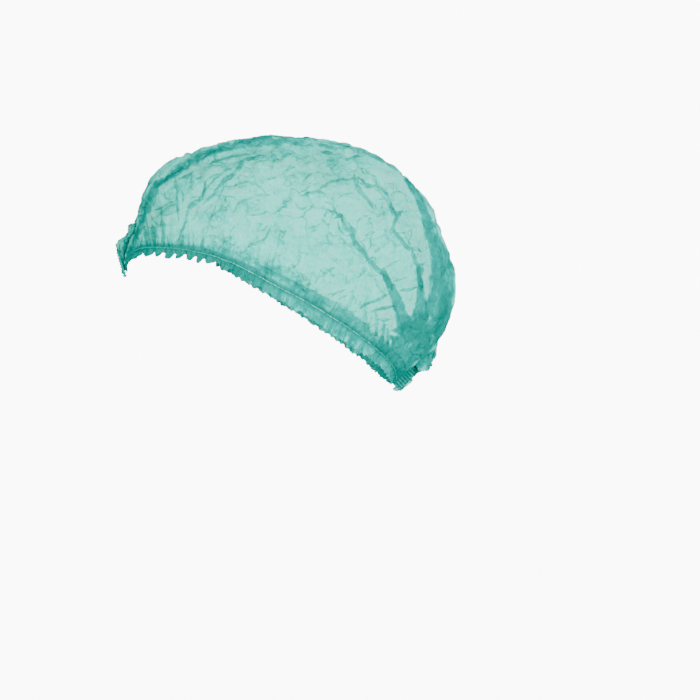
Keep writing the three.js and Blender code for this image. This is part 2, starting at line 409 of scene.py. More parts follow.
@dataclass(frozen=True)
class SideView:
    """Side elevation of the worn cap, in which its creases and dense places are laid out in mm."""

    azimuth: float = 82.0
    elevation: float = 4.8
    distance: float = 1900.0

    def axes(self, side: Side) -> tuple[np.ndarray, np.ndarray, np.ndarray]:
        """Unit vectors out of the elevation, along it and up it, for one side of the cap."""
        a, e = math.radians(self.azimuth), math.radians(self.elevation)
        out = np.array([math.sin(a) * math.cos(e), -math.cos(a) * math.cos(e), math.sin(e)])
        along = np.array([math.cos(a), math.sin(a), 0.0])
        mirror = np.array([float(side.value), 1.0, 1.0])
        return out * mirror, along * mirror, np.cross(out, along) * mirror

    def place(self, points: np.ndarray, side: Side) -> np.ndarray:
        """Places of points in the elevation.

        Args:
            points: Points in millimetres, coordinates last.
            side: The side of the cap that is looked at.

        Returns:
            Distance along and up the elevation for each point.
        """
        out, along, up = self.axes(side)
        scale = self.distance / (self.distance - points @ out)
        return np.stack([points @ along * scale, points @ up * scale], axis=-1)

    def ray(self, spots: np.ndarray, side: Side) -> tuple[np.ndarray, np.ndarray]:
        """Lines of sight through spots of the elevation.

        Args:
            spots: Places in the elevation, two numbers each.
            side: The side of the cap that is looked at.

        Returns:
            Where the lines start, and their directions.
        """
        out, along, up = self.axes(side)
        eye = out * self.distance
        through = spots[:, :1] * along + spots[:, 1:2] * up
        return eye, unit(through - eye)


@dataclass(frozen=True)
class DensePlace:
    """A stretch of the cloth where pleats lie on each other, as seen in the side elevation.

    Attributes:
        layers: Thicknesses of cloth that it adds; below zero it is thinner there, and one such place is
            painted light.
        inner: Share of the half width with the full count.
        mottle: How unevenly it is packed.
        path: Place along, place up and half width of each point in turn, in mm.
        spacing: Distance between the points that it is measured from, in mm.
        fray: How far the noise moves its border, as a share of the half width.
    """

    layers: float
    inner: float
    mottle: float
    path: tuple[float, ...]
    spacing: float = 1.2
    fray: float = 0.22

    def share(self, spots: np.ndarray, rough: np.ndarray) -> np.ndarray:
        """How much of the place reaches each spot, 0 to 1.

        Args:
            spots: Places in the elevation, two numbers last.
            rough: Noise in -1..1 that makes its border uneven.

        Returns:
            The share for each spot.
        """
        knots = np.array(self.path).reshape(-1, 3)
        run = run_along(knots[:, :2])
        at = np.linspace(0.0, run[-1], max(int(run[-1] / self.spacing), 1) + 1)
        line = along_line(at, run, knots)
        reach = knots[:, 2].max() * 1.3
        low, high = line[:, :2].min(axis=0) - reach, line[:, :2].max(axis=0) + reach
        near = np.all((spots > low) & (spots < high), axis=-1)
        gap = np.linalg.norm(spots[near][:, None, :] - line[None, :, :2], axis=-1) / line[None, :, 2]
        share = np.zeros(spots.shape[:-1])
        share[near] = 1.0 - smooth(self.inner, 1.0, gap.min(axis=1) + self.fray * rough[near])
        return share


@dataclass(frozen=True)
class CreaseLine:
    """A sharp crease or folded ridge of the cloth, as seen in the side elevation.

    Attributes:
        layers: Thicknesses of cloth that it adds.
        crisp: 0 for a rounded crease, 1 for a flat fold with two sharp borders.
        path: Place along, place up and width of each point in turn, in mm.
    """

    layers: float
    crisp: float
    path: tuple[float, ...]


# Each row: layers, inner and mottle, then along, up and half width of every point.
DENSE_PLACES = tuple(DensePlace(*row[:3], row[3:]) for row in (
    (2.2, 0.4, 0.5, -67.1, 90, 2.6, -69.7, 83.5, 4.2, -73.2, 76.1, 4.6, -76.1, 69, 4, -79.4, 61.9, 4, -82.9,
     55.2, 4.6, -86.8, 48.7, 5.5),
    (2.3, 0.25, 0.5, -67.1, 90, 3, -61.6, 92.6, 2.8, -56.5, 96.8, 3.2, -51, 101, 3.6, -44.8, 104.8, 3.6,
     -38.4, 108.4, 3.6, -30.6, 111, 3.6),
    (1.25, 0.15, 0.75, -32.6, 110.3, 3, -22.3, 113.9, 4.2, -12.6, 116.1, 4.4, 0.3, 117.4, 4.6, 12.6, 117.4,
     4.2, 23.9, 116.8, 3.6, 35.2, 115.8, 2.6, 48.1, 113.2, 1.6),
    (1.2, 0.15, 0.6, 12.6, 120, 1.6, 28.7, 119.7, 1.5, 36.8, 118.4, 1.5, 44.8, 116.5, 1.4, 52.9, 115, 1.5,
     59.4, 113.4, 1.5, 67.4, 110.8, 1.7, 73.9, 107.7, 1.9, 80.3, 104.4, 2.1, 86.8, 100.3, 2.1, 93.2, 96.1,
     2.3, 99.7, 89.7, 2.5),
    (0.25, 0.2, 0.6, -72.9, 89, 4, -69.7, 95.8, 5, -63.2, 100.6, 5, -55.2, 105.5, 5, -47.1, 108.7, 4, -39,
     111.9, 3.4),
    (2.3, 0.7, 0.3, 94, 92.6, 1.6, 99.7, 85.2, 2.4, 103.2, 78.1, 2.8, 106.5, 69.4, 3.4, 109.7, 60.3, 4.2,
     112.9, 50.6, 5.4, 116.5, 41, 7.8, 117.4, 31.3, 8.6, 116.8, 20, 9.2, 114.2, 10.3, 9.5),
    (3.4, 0.3, 0.4, 121, 18.4, 3, 119.4, 10, 6, 117.4, 2.3, 8, 114.2, -5.8, 9, 109.4, -12.3, 8, 104.5,
     -18.7, 7),
    (2.6, 0.5, 0.4, 101.3, 2.3, 8, 99.7, -7.4, 12, 93.2, -17.1, 13, 86.8, -23.5, 10, 91.6, -28.4, 8),
    (3, 0.35, 0.3, 77.1, -21.9, 3, 83.5, -27.6, 5, 89.2, -31.6, 6),
    (1.6, 0.45, 0.35, 73.9, -10.6, 6, 80.3, -13.9, 7, 90, -7.4, 7, 96.5, -4.2, 8),
    (0.85, 0.3, 0.6, -0.3, 35.8, 2.2, 9.4, 31, 3, 19, 25.6, 4.2, 28.7, 20, 5.2, 38.4, 13.9, 6.2, 48.1, 7.4,
     6.8, 57.7, 0.6, 7.2, 67.4, -6.8, 7.6, 75.5, -14.2, 7.6),
    (0.8, 0.15, 0.7, 28.7, 16.5, 1.4, 36.8, 11.6, 2.6, 44.8, 5.8, 2.6, 54.5, -1.3, 2.4, 64.2, -8.7, 2.6,
     73.9, -16.5, 3, 81.9, -23.9, 3.4),
    (0.65, 0.1, 0.5, -32.6, 50.6, 5, -19.7, 44.8, 7, -6.8, 40, 8, 6.1, 35.8, 8, 22.3, 28.1, 8),
    (2.1, 0.8, 0.2, 78.2, 33.2, 1.4, 81.4, 28.5, 2, 84.1, 23.8, 2.8, 86.5, 18.3, 3.6, 88.8, 12.8, 4.2, 90.8,
     6.6, 4.6, 93.1, 1.1, 5.4, 96.2, -4.4, 7),
    (2, 0.8, 0.2, 101.7, 36.3, 1, 102.5, 30.8, 1.3, 103.9, 25.3, 2.4, 104, 20.6, 3.4, 104.2, 15.2, 3.8,
     103.3, 9.7, 4.4, 102.5, 3.4, 6, 102.5, -2.8, 8),
    (2, 0.35, 0.4, -82.3, 45.5, 1.4, -77.1, 49.4, 1.4, -66.8, 50.3, 1.4, -51.9, 50.1, 1.4, -37.7, 49, 1.3,
     -28.7, 45.2, 1.3, -14.5, 39.8, 1.2, -0.3, 33.9, 1.1),
    (1, 0.3, 0.5, -5.5, 35.4, 1.1, 14.5, 23.8, 1.1, 27.4, 16.7, 1.1, 42.6, 7, 1.1, 57.1, -1.7, 1.1, 69.7,
     -11, 1.1, 79, -19, 1),
    (1, 0.4, 0.6, -90.6, 49.8, 5, -85.8, 45.8, 6, -86.8, 39.4, 3.5),
    (0.45, 0, 0.5, -76.1, 55.5, 7, -63.2, 60.3, 10, -60, 76.5, 12, -51.9, 84.5, 12),
    (0.3, 0, 0.6, -47.1, 94.2, 8, -27.7, 102.3, 10, -3.5, 107.1, 10, 22.3, 108.7, 9, 44.8, 107.1, 8, 64.2,
     102.3, 7),
    (-1.9, 0.4, 0.2, 100.6, 53.9, 1.6, 103.2, 41, 2, 105.5, 31.3, 2.4, 106.8, 23.2, 2.2, 106.8, 15.8, 1.4),
    (-1.7, 0.5, 0.3, 70, 6.6, 2.6, 70.4, 1.9, 3.4, 72.6, -3.6, 2.2),
    (-2.2, 0.5, 0.2, 76.5, 0.3, 1.7, 76.7, -3.6, 1.8, 76.4, -8.3, 1.6),
    (-2, 0.5, 0.3, 81.4, -0.5, 2.6, 84.5, -0.9, 3.4, 86.8, -0.5, 2.6),
    (-3, 0.5, 0.1, 95.4, 9.7, 2.6, 96.9, 6.6, 2.4, 97.9, 2.7, 1.8, 98.7, -2, 1.3, 98.9, -4.4, 1),
    (-2.4, 0.4, 0.4, 84.5, -6.3, 1.6, 87.6, -7.2, 1.9, 90.8, -8, 1.2),
    (-2.2, 0.4, 0.1, 80.4, -8.3, 1, 80.3, -12.2, 1.1),
    (-3.2, 0.4, 0.1, 83.9, -11.4, 1.3, 83.6, -15.3, 1.5),
    (-2.4, 0.4, 0.1, 87.5, -11.4, 1, 87.8, -14.1, 1),
    (-2, 0.3, 0.1, 93.9, -12.2, 1.2, 94.4, -12.5, 1.2),
    (-3.2, 0.5, 0.3, 108.7, -22.3, 1.6, 111.3, -19, 2.4, 113.2, -15.2, 2.8),
    # Painted light: fewer layers, so paler cloth, along the joint of the crown and the forehead weld, to
    # offset the shade in that concave corner.
    (-2.9, 0.55, 0.2, -79.7, 67.4, 1.8, -82.3, 60.3, 2.2, -84.8, 53.2, 2.6, -86.8, 46.8, 2.6, -87.4, 40.3,
     2.2),
    (-1.5, 0.3, 0.3, 101.2, 5.8, 1.4, 101.7, 4.2, 1.5),
    (-1.1, 0.4, 0.3, 75.1, 5.8, 3, 79.8, 5.8, 4, 85.3, 6.6, 3.4),
    (-0.8, 0.2, 0.3, 72, 11.3, 3, 79, 13.6, 4, 84.5, 15.2, 3),
))

# Each row: layers and crispness, then along, up and width of every point.
CREASE_LINES = tuple(CreaseLine(*row[:2], row[2:]) for row in (
    (1.57, 0.4, 51.9, 69.4, 0.96, 53.6, 64.8, 1.28, 55.8, 60.7, 1.76, 60.1, 60.1, 1.92, 59.9, 55.8, 1.6,
     60.7, 51.3, 1.52, 64.2, 47.7, 1.52, 68.1, 43.3, 1.52, 71.1, 39.6, 1.6, 73.9, 36.4, 1.76, 77.1, 32.8,
     1.76, 79.9, 32.3, 1.76, 81, 28.8, 1.92, 83.3, 25.1, 2.24, 85.7, 21.6, 2.56),
    (1.18, 0.3, 59.9, 97.7, 0.64, 61, 93.5, 1.2, 62.6, 88.7, 1.28, 65.5, 84.5, 1.12, 68.7, 80.3, 1.04, 71.5,
     76.2, 0.96, 73.2, 72.3, 0.64),
    (1.57, 0.4, 62.3, 94.8, 0.64, 65.9, 92.2, 1.12, 68.7, 88.3, 1.28, 74.1, 88.5, 1.28, 78.4, 85.7, 1.2, 81,
     81.9, 1.52, 83.3, 76.7, 1.68, 85.7, 71.7, 1.76, 89.6, 70, 1.68, 86.4, 65.7, 1.36, 85.5, 61.2, 1.28,
     87.8, 57.4, 1.52, 91.3, 53.6, 1.6, 93.9, 50, 1.68, 96.7, 47.8, 1.76, 100.3, 47.9, 1.6, 102.9, 45.9,
     0.8),
    (1.57, 0.4, 98, 47.2, 1.12, 99.2, 42.6, 1.52, 99.7, 39.9, 1.52, 101.7, 37.1, 1.68, 103.8, 34.8, 1.84,
     103, 30.9, 1.68, 102.5, 27.2, 1.68, 103.9, 24.2, 2.08, 103.2, 21, 2.56),
    (1.76, 0.4, 101.7, 37.2, 1.2, 103.9, 38.1, 1.04, 106.1, 37.6, 0.56),
    (1.57, 0.4, 88.1, 70.3, 1.12, 90.6, 72.3, 1.04, 93, 71.5, 0.48),
    (1.47, 0.3, -55, 94, 1.28, -54.6, 91, 1.76, -53.8, 86.6, 1.28, -53.7, 82.1, 0.96, -54.1, 77.7, 1.28,
     -53.3, 73.3, 0.96, -52.7, 68.8, 0.8, -52.8, 64.4, 0.48),
    (0.98, 0.3, -62.3, 86.6, 0.56, -61.7, 83.6, 0.56, -60.7, 80.7, 0.56, -59.2, 80.7, 0.56, -57.1, 79.6,
     0.56),
    (1.18, 0.3, -69, 72.9, 1.04, -66, 74.1, 1.04, -63, 75.3, 1.04, -60.1, 77, 1.04, -57.1, 78.6, 1.04,
     -54.7, 77.6, 1.04),
    (1.18, 0.3, -63.9, 68.1, 1.2, -63.8, 70.3, 1.2, -62.3, 72.7, 1.2, -59.7, 74.6, 1.2, -57.1, 76.1, 1.2,
     -54.7, 77, 1.2),
    (1.18, 0.2, -63.8, 68.8, 1.28, -63.2, 64.4, 1.92, -62.6, 59.9, 1.76, -62.7, 54.7, 1.44, -62.3, 49.6,
     1.28),
    (1.96, 0.4, -75.2, 62.9, 1.28, -74.6, 59.9, 1.76, -73.7, 56.2, 1.6, -73.2, 49.6, 1.6),
    (2.16, 0.4, -70, 65.1, 1.28, -69.5, 61.4, 1.92, -68.7, 57, 1.92, -68.1, 49.6, 2.08),
    (1.18, 0.4, -72.7, 68.8, 0.56, -73.5, 65.9, 0.56, -72.7, 61.4, 0.56, -71.5, 55.5, 0.56, -71, 49.9,
     0.56),
    (0.98, 0.3, -71, 69.6, 0.8, -69, 66.6, 0.8, -66, 63.6, 0.8, -64.5, 62.9, 0.8),
    (0.78, 0.3, -67.3, 61.4, 0.64, -66.6, 56.2, 0.64, -66, 49.9, 0.64),
    (0.88, 0.3, -59.7, 57, 0.8, -59.2, 53.3, 0.8, -58.6, 49.6, 0.8),
    (1.67, 0.45, -53, 51.8, 0.96, -52.2, 55.5, 0.96, -50.4, 59.9, 1.04, -49.1, 63.6, 0.88, -47.9, 66.6,
     1.12, -47.2, 70.3, 1.6, -46, 74, 2.08, -43.8, 76.8, 2.08, -40.8, 78.6, 1.92, -37.8, 80.7, 1.76, -36.7,
     83.6, 1.28, -36.2, 87.3, 1.12, -35.5, 91, 0.96, -34, 93.8, 0.64),
    (0.88, 0.3, -55.6, 51, 0.72, -54.1, 53.3, 0.72, -52.7, 55.1, 0.72),
    (0.69, 0.2, -34, 93.8, 0.72, -31.2, 95, 0.72, -28.2, 96.1, 0.72, -26, 96.4, 0.72),
    (1.27, 0.35, -37.3, 75.9, 0.8, -35.2, 78.6, 1.28, -32.7, 81, 1.28, -30.4, 82.7, 1.44, -28.2, 86.1, 1.44,
     -25.8, 89.6, 1.44, -23, 92.5, 1.6, -19.3, 94.9, 1.76, -16.4, 97, 1.6, -14.1, 99.6, 1.6, -11.9, 103.5,
     1.44, -9, 105.8, 1.2, -5.3, 106.9, 1.12, -0.8, 107.8, 0.96, 3.6, 108.7, 0.8),
    (0.69, 0.2, -45.3, 80.7, 0.64, -42.3, 81.6, 0.64, -38.6, 81.3, 0.64),
    (0.78, 0.2, -51.2, 86.6, 0.72, -50, 83.6, 0.72, -49.7, 80.7, 0.72, -50.4, 77, 0.72),
    (0.78, 0.2, -33.4, 102.1, 0.96, -30.4, 104.7, 0.96, -26.7, 105.7, 0.96, -23, 106.4, 0.96, -18.6, 107.9,
     0.96, -13.4, 108.2, 0.96, -8.2, 109.5, 0.96),
    (0.98, 0.2, -42, 93.3, 0.96, -39.6, 93.8, 0.96, -37.8, 95.5, 0.96),
    (1.57, 0.2, -52.7, 93.3, 1.6, -49.7, 93.8, 1.6, -46, 95.8, 1.6, -43, 98.4, 1.6),
    (1.08, 0.2, 6.9, 110.6, 1.12, 8.1, 108.1, 1.92, 8.8, 105.1, 1.92, 7.3, 103.6, 1.12),
    (0.98, 0.2, 8.8, 106.1, 1.12, 12.5, 105.8, 1.12, 15.5, 107, 1.12, 19, 108.7, 1.12),
    (0.78, 0.2, 4.4, 92.4, 0.96, 7.3, 93.3, 0.96, 10.3, 94.1, 0.96),
    (0.54, 0.15, -17.1, 86.6, 0.8, -16.1, 89.1, 0.8, -13.4, 90.4, 0.8, -9.7, 91, 0.8, -6, 90.9, 0.8, -2.3,
     89.7, 0.8, 1.4, 86.6, 0.8, 3.6, 82.9, 0.8),
    (0.69, 0.15, -22.3, 82.1, 1.04, -23, 79.2, 1.04, -24.9, 76.2, 1.04, -26.7, 71.8, 1.04),
    (0.73, 0.2, -16.4, 74.4, 0.96, -14.7, 76.7, 0.96, -11.2, 78.9, 0.96, -6.7, 80.7, 0.96, -1.6, 82.7, 0.96,
     2.9, 83.2, 0.96, 6.6, 82.6, 0.96),
    (0.78, 0.2, -18, 70.9, 0.8, -16.5, 73.3, 0.8, -14.9, 75.3, 0.8),
    (0.78, 0.2, -7.9, 70.3, 0.96, -4.5, 69.9, 0.96, -0.8, 70.6, 0.96, 2.9, 71.5, 0.96, 5.1, 72.7, 0.96),
    (0.88, 0.25, -9, 47.6, 1.12, -6.7, 50.3, 1.28, -3.8, 51.6, 1.2, -0.8, 52.7, 0.96, 2.1, 54.3, 0.8, 4.5,
     57, 0.72, 5.9, 60.7, 0.64, 6.9, 64.4, 0.48),
    (0.69, 0.2, -13.4, 44.8, 0.72, -11.2, 46.3, 0.72, -8.5, 47.6, 0.72),
    (0.88, 0.2, 12.5, 59.2, 0.96, 14.7, 58.6, 0.96, 17, 59.3, 0.96),
    (0.59, 0.2, 13.3, 54.7, 0.64, 14.7, 56.2, 0.64, 16.2, 58.4, 0.64),
    (0.88, 0.25, -28.2, 45.7, 0.96, -26.7, 48.8, 0.96, -24.5, 51, 0.96, -23, 53.3, 0.96),
    (0.98, 0.25, -35.9, 46.6, 1.12, -35, 48.8, 1.12, -33.7, 51, 1.12),
    (0.78, 0.2, -43, 47.3, 0.8, -42.6, 49.6, 0.8, -43.2, 52.5, 0.8),
    (0.88, 0.25, -50.7, 49.6, 0.72, -50.4, 53.3, 0.72, -49.7, 57, 0.72),
    (0.59, 0.2, 5.1, 105.8, 0.8, 1.4, 104.4, 0.8, -1.6, 104.5, 0.8),
    (0.49, 0.2, 9.6, 71.8, 0.8, 12.5, 73.3, 0.8, 15.5, 76.2, 0.8),
    (0.49, 0.15, -31.9, 67.3, 0.96, -30.1, 71.8, 0.96, -29, 76.2, 0.96),
    (0.59, 0.15, -43.8, 66.6, 0.96, -41.5, 69.6, 0.96, -40.1, 73.3, 0.96),
    (0.88, 0.25, 12.6, 107.6, 0.96, 15.7, 108.1, 0.96, 18.5, 108.8, 0.96, 20.7, 109.6, 0.96),
    (1.37, 0.35, 55.3, 105.2, 1.6, 57.1, 106.3, 1.28, 60.3, 107.1, 1.12, 63.4, 107.6, 0.96, 66.8, 107.6,
     0.64),
    (0.98, 0.3, 55.1, 107, 1.28, 55.7, 105.7, 1.28, 56.8, 104.6, 1.28),
    (0.98, 0.15, 38.4, 111.2, 1.44, 41.5, 110.7, 1.44, 44.6, 109.9, 1.44, 47, 109.3, 1.44),
    (0.98, 0.15, 43.9, 107.4, 1.76, 45.7, 105.7, 2.56, 44.6, 103, 2.56, 43.2, 101.5, 1.6),
    (0.98, 0.25, 43.9, 101.5, 0.96, 45.7, 99.5, 0.96, 47, 97.1, 0.96, 48.7, 95.5, 0.96),
    (0.78, 0.2, 46.7, 111.5, 1.04, 50.1, 112.7, 1.04, 54, 113.5, 1.04, 57.9, 114.1, 1.04),
    (0.88, 0.25, 15.4, 98.4, 1.12, 17.3, 99.1, 1.12, 19.1, 100.2, 1.12, 22.7, 101, 1.12),
    (0.69, 0.2, 19.1, 102.3, 1.28, 19.6, 100.2, 1.28),
    (0.93, 0.25, 27.1, 91.9, 1.44, 28.7, 93.2, 1.12, 30.2, 94.9, 0.96, 32.6, 96.3, 0.88, 35.3, 97.1, 0.8,
     39.2, 97.4, 0.64),
    (1.32, 0.35, 26.3, 82.9, 0.96, 29.3, 83.7, 1.28, 32.3, 84.1, 1.44, 35.3, 84.9, 1.28, 37.8, 85.2, 1.76,
     39.9, 84.1, 1.12, 42, 82.9, 0.72),
    (1.27, 0.35, 37.8, 85.2, 1.44, 38.7, 86.9, 1.44, 40.1, 88.2, 1.36, 42, 89.4, 1.28, 44.6, 91, 1.28, 47.8,
     92.1, 1.12, 51, 92.6, 0.88, 54, 92.7, 0.88, 56.8, 92.3, 0.88, 59.5, 93.2, 0.96, 61.8, 94.3, 1.2, 63.6,
     94.6, 1.12),
    (1.18, 0.3, 63.6, 94.6, 1.04, 63.1, 92.4, 1.04, 63.4, 90.9, 1.04),
    (0.98, 0.3, 65.4, 100.5, 1.12, 66.1, 98, 1.12, 66.7, 96.6, 1.12),
    (1.13, 0.4, 61.5, 94.3, 1.12, 60.6, 92.1, 1.12, 61.5, 89.8, 1.12, 62.6, 86.8, 1.04, 64.5, 84.3, 1.04,
     66.5, 81.8, 1.12, 68.4, 79.9, 1.28),
    (0.78, 0.3, 68.4, 80.2, 0.8, 70.4, 79.4, 0.8, 72.3, 77.7, 0.8, 73.9, 75.5, 0.8, 74.8, 73.8, 0.8),
    (1.08, 0.35, 62.6, 91.3, 1.04, 65.1, 90.1, 0.96, 68.1, 89.6, 1.12, 70.4, 89.4, 1.04, 72.9, 88.8, 0.8),
    (0.78, 0.3, 72.9, 88.8, 0.64, 74.3, 89.8, 0.64, 74.7, 87.7, 0.64, 73.6, 86.6, 0.64),
    (0.78, 0.3, 73.6, 86.6, 0.8, 76.4, 85.5, 0.8, 79, 84.6, 0.8, 81.4, 83.8, 0.8),
    (0.88, 0.3, 81.4, 81.9, 0.8, 81.7, 84.3, 0.8, 80.3, 84.6, 0.8),
    (1.67, 0.5, 80.9, 81.9, 1.2, 82.2, 79.6, 1.52, 83.3, 77.2, 1.6, 84.2, 74.1, 1.44, 85, 72.1, 1.28),
    (1.27, 0.35, 83.9, 73.3, 1.12, 85.4, 70.5, 1.28, 87.6, 69.9, 1.12, 90.4, 69.7, 0.96),
    (0.98, 0.25, 89.7, 72.9, 0.96, 90, 70.2, 0.96, 89.4, 67.7, 0.96),
    (0.69, 0.2, 79, 76.5, 0.72, 78.7, 73.3, 0.72, 79.8, 70.2, 0.72, 81.1, 67.9, 0.72),
    (0.59, 0.2, 75.9, 80.4, 0.64, 79, 80.2, 0.64, 80.6, 81.5, 0.64),
    (0.98, 0.3, 85, 64, 0.8, 84.7, 61.1, 0.96, 85.8, 59.1, 1.12, 87.8, 58.3, 1.12, 90.4, 58.5, 0.96),
    (0.78, 0.25, 90.4, 58.5, 0.72, 92.3, 58.6, 0.72, 95.4, 59.6, 0.72, 97.6, 60.7, 0.72),
    (0.78, 0.25, 97.5, 60.4, 0.8, 97.2, 56.9, 0.8, 95.9, 53, 0.8, 95.3, 49.1, 0.8),
    (1.67, 0.5, 90, 55.7, 0.96, 91.1, 53.6, 1.28, 93.1, 51.1, 1.6, 94.8, 49.1, 1.76, 97, 48, 1.6, 98.9,
     48.5, 1.44, 100.9, 48.2, 1.28, 103.3, 46.4, 1.28, 104.5, 45.5, 0.8),
    (1.47, 0.5, 97.6, 47.9, 1.28, 98.1, 44.4, 1.44, 99.2, 41.3, 1.6, 100.3, 38.2, 1.6),
    (1.08, 0.35, 100.3, 38.2, 1.12, 102.5, 37.4, 1.12, 104.8, 38.3, 1.12, 106.4, 39.3, 1.12),
    (0.78, 0.2, 100.3, 40.5, 0.64, 101.4, 45.2, 0.64),
    (1.67, 0.6, 99.8, 38.9, 1.44, 101.4, 36.6, 1.6, 102.5, 34.3, 1.6, 102.2, 31.1, 1.44, 102.5, 28.8, 1.6,
     104.2, 26.4, 1.92, 105.1, 24.1, 1.76),
    (0.69, 0.25, 46.2, 81.2, 0.8, 47, 78.8, 0.8, 46.7, 76.3, 0.8),
    (1.08, 0.3, 40.9, 78.5, 0.64, 43.9, 77.2, 0.8, 46.4, 76.3, 1.28, 47.8, 74.1, 1.04, 49.3, 71, 0.96, 50.4,
     69.3, 1.28),
    (0.59, 0.2, 42.6, 73.3, 0.64, 42, 71.3, 0.64, 41.2, 68.7, 0.64),
    (0.69, 0.2, 44.3, 78.8, 0.64, 46.2, 76.5, 0.64),
    (1.57, 0.4, 46.8, 67.7, 0.8, 49, 68.3, 1.12, 50.9, 69.4, 1.6, 52.8, 69.3, 1.92, 53.9, 68.3, 1.44),
    (1.37, 0.45, 49.6, 66.3, 1.12, 50.3, 63.5, 1.04, 51.4, 60.7, 1.04, 52.8, 58.6, 1.2, 54, 57.2, 1.04),
    (0.78, 0.3, 54, 57.2, 0.64, 56, 56.5, 0.64, 57.9, 56.9, 0.64, 58.7, 59.3, 0.64, 56.5, 59.3, 0.64),
    (1.37, 0.4, 52.5, 68.3, 1.28, 53.5, 64.7, 0.8, 53.2, 62.4, 0.8, 54.8, 60.2, 1.12, 57.5, 59.6, 1.28,
     59.8, 60.7, 1.28),
    (0.78, 0.25, 56.8, 65.5, 0.8, 57.9, 63.2, 0.8, 59.8, 61.1, 0.8),
    (1.67, 0.5, 60, 60.8, 1.28, 60.3, 58.5, 1.44, 59.6, 55.8, 1.6, 60.1, 53.8, 1.76, 61.8, 52.2, 1.76),
    (1.76, 0.6, 61.1, 53.8, 1.76, 62.6, 50.7, 1.76, 64.5, 48.8, 1.6, 66.5, 47.2, 1.76, 67.3, 44.7, 1.76,
     69.2, 42.1, 1.76, 71.5, 39.3, 1.92, 73.7, 36.6, 2.24, 75.6, 34.6, 2.4, 78.4, 33.3, 2.4, 80, 32.8,
     2.24),
    (1.27, 0.4, 64.5, 52.4, 0.96, 66.5, 50.7, 1.12, 67.6, 48.3, 0.96, 67.3, 46.8, 0.8),
    (0.78, 0.25, 63.4, 45.2, 0.72, 65.3, 43.3, 0.72, 66.5, 43.6, 0.72),
    (1.08, 0.35, 70.4, 41.3, 0.72, 72.3, 42.9, 0.96, 73.9, 42.1, 0.96, 74.3, 38.9, 1.12, 74, 36.6, 1.12),
    (1.76, 0.6, 79.5, 35.3, 1.92, 81.1, 31.9, 1.92, 82.3, 28.5, 2.08, 83.7, 25.7, 2.56),
    (1.18, 0.4, 78.7, 35.8, 1.12, 80.3, 35, 1.12, 81.4, 33.2, 1.12),
    (0.59, 0.2, 80.3, 35.5, 0.72, 82.9, 37.5, 0.72, 86.1, 39.3, 0.72, 90, 41.3, 0.72),
    (0.69, 0.2, 85.3, 26.9, 0.72, 88.4, 28.2, 0.72, 92.3, 29.1, 0.72, 95.4, 30, 0.72),
    (0.78, 0.3, 21.8, 78.8, 0.88, 22.9, 76.5, 0.88, 24.5, 74.6, 0.88, 27, 73.8, 0.88, 29.3, 74.6, 0.88,
     30.4, 76.2, 0.88),
    (0.59, 0.2, 50.4, 80.8, 0.8, 52.5, 82.3, 0.8, 54.8, 83.3, 0.8, 57.9, 83.7, 0.8),
    (0.69, 0.2, 62.3, 65.5, 0.88, 64.2, 67.4, 0.88, 66.5, 68.8, 0.88, 69.6, 69.4, 0.88),
    (0.78, 0.25, 67.3, 56.1, 1.04, 69.6, 58, 1.04, 72, 59, 1.04, 74.3, 59.3, 1.04),
    (0.78, 0.25, 39.2, 67.9, 0.88, 41.2, 65.5, 0.88, 43.1, 63.6, 0.88, 45.3, 64.3, 0.88),
    (0.78, 0.25, 18.5, 35, 1.04, 19.6, 36.3, 1.04, 21.2, 37.1, 1.04, 23.1, 37.2, 1.04),
    (0.78, 0.25, 41.7, 31.9, 1.12, 43.2, 33.8, 1.12, 45.1, 35, 1.12, 47.9, 36.4, 1.12),
    (0.69, 0.2, 25.1, 33.5, 0.72, 26.7, 31.4, 0.72, 28.7, 30, 0.72, 31.3, 29.9, 0.72),
    (0.78, 0.2, 12.6, 60.1, 0.8, 14.3, 59, 0.8, 16, 58.8, 0.8),
    (0.69, 0.2, 13.4, 56.1, 0.72, 14.9, 57.2, 0.72, 15.7, 58.5, 0.72),
    (0.49, 0.15, 84.5, 81.2, 0.64, 84.8, 84.3, 0.64, 87.6, 85.1, 0.64, 91.5, 84.3, 0.64),
    (0.69, 0.15, 73.6, 45.8, 0.96, 75.1, 47.1, 0.96, 77.2, 48.2, 0.96),
    (0.59, 0.4, 104.8, 65.5, 0.8, 105.6, 59.3, 0.8, 106.4, 53, 0.8, 107.6, 46.8, 0.8),
    (1.27, 0.45, 62.6, 10, 0.64, 64.5, 9.7, 1.12, 65.4, 11.1, 1.12, 67, 12.4, 1.04, 70.4, 13.3, 1.12, 74.3,
     14.4, 1.12, 77.5, 16.1, 1.12, 80.3, 18, 1.04, 83.4, 19.4, 0.88),
    (1.76, 0.6, 88.6, 20.8, 1.12, 91.5, 21.3, 1.44, 94.7, 21.9, 1.44, 98.3, 22.7, 1.44, 101.7, 23.5, 1.28),
    (1.76, 0.55, 74, 8.3, 1.44, 76.7, 9.1, 1.6, 79.8, 10, 1.6, 83.7, 10.8, 1.44, 87.6, 11.4, 1.12),
    (1.27, 0.35, 68.4, 8.1, 0.8, 67.8, 5.8, 0.96, 68.2, 1.9, 1.12, 69.3, -2, 1.44, 70.7, -5.2, 1.92),
    (1.47, 0.4, 74.3, 8.1, 1.28, 74.8, 4.2, 1.44, 75.1, -0.5, 1.44, 74.8, -5.2, 1.44, 75.6, -9.1, 1.76),
    (1.47, 0.35, 75.1, 3, 1.12, 77.5, 2.3, 1.28, 80.6, 2.2, 1.44, 84.2, 2.7, 0.96),
    (1.37, 0.4, 79.2, 1.9, 1.28, 79.7, -1.2, 1.44, 79, -5.2, 1.28, 79, -9.1, 1.12),
    (1.18, 0.3, 81.7, -2.8, 0.96, 82.2, -7.5, 0.96, 82.6, -13.8, 0.96),
    (0.78, 0.3, 64.2, 14.4, 0.72, 64.5, 12, 0.72, 65.4, 11.1, 0.72),
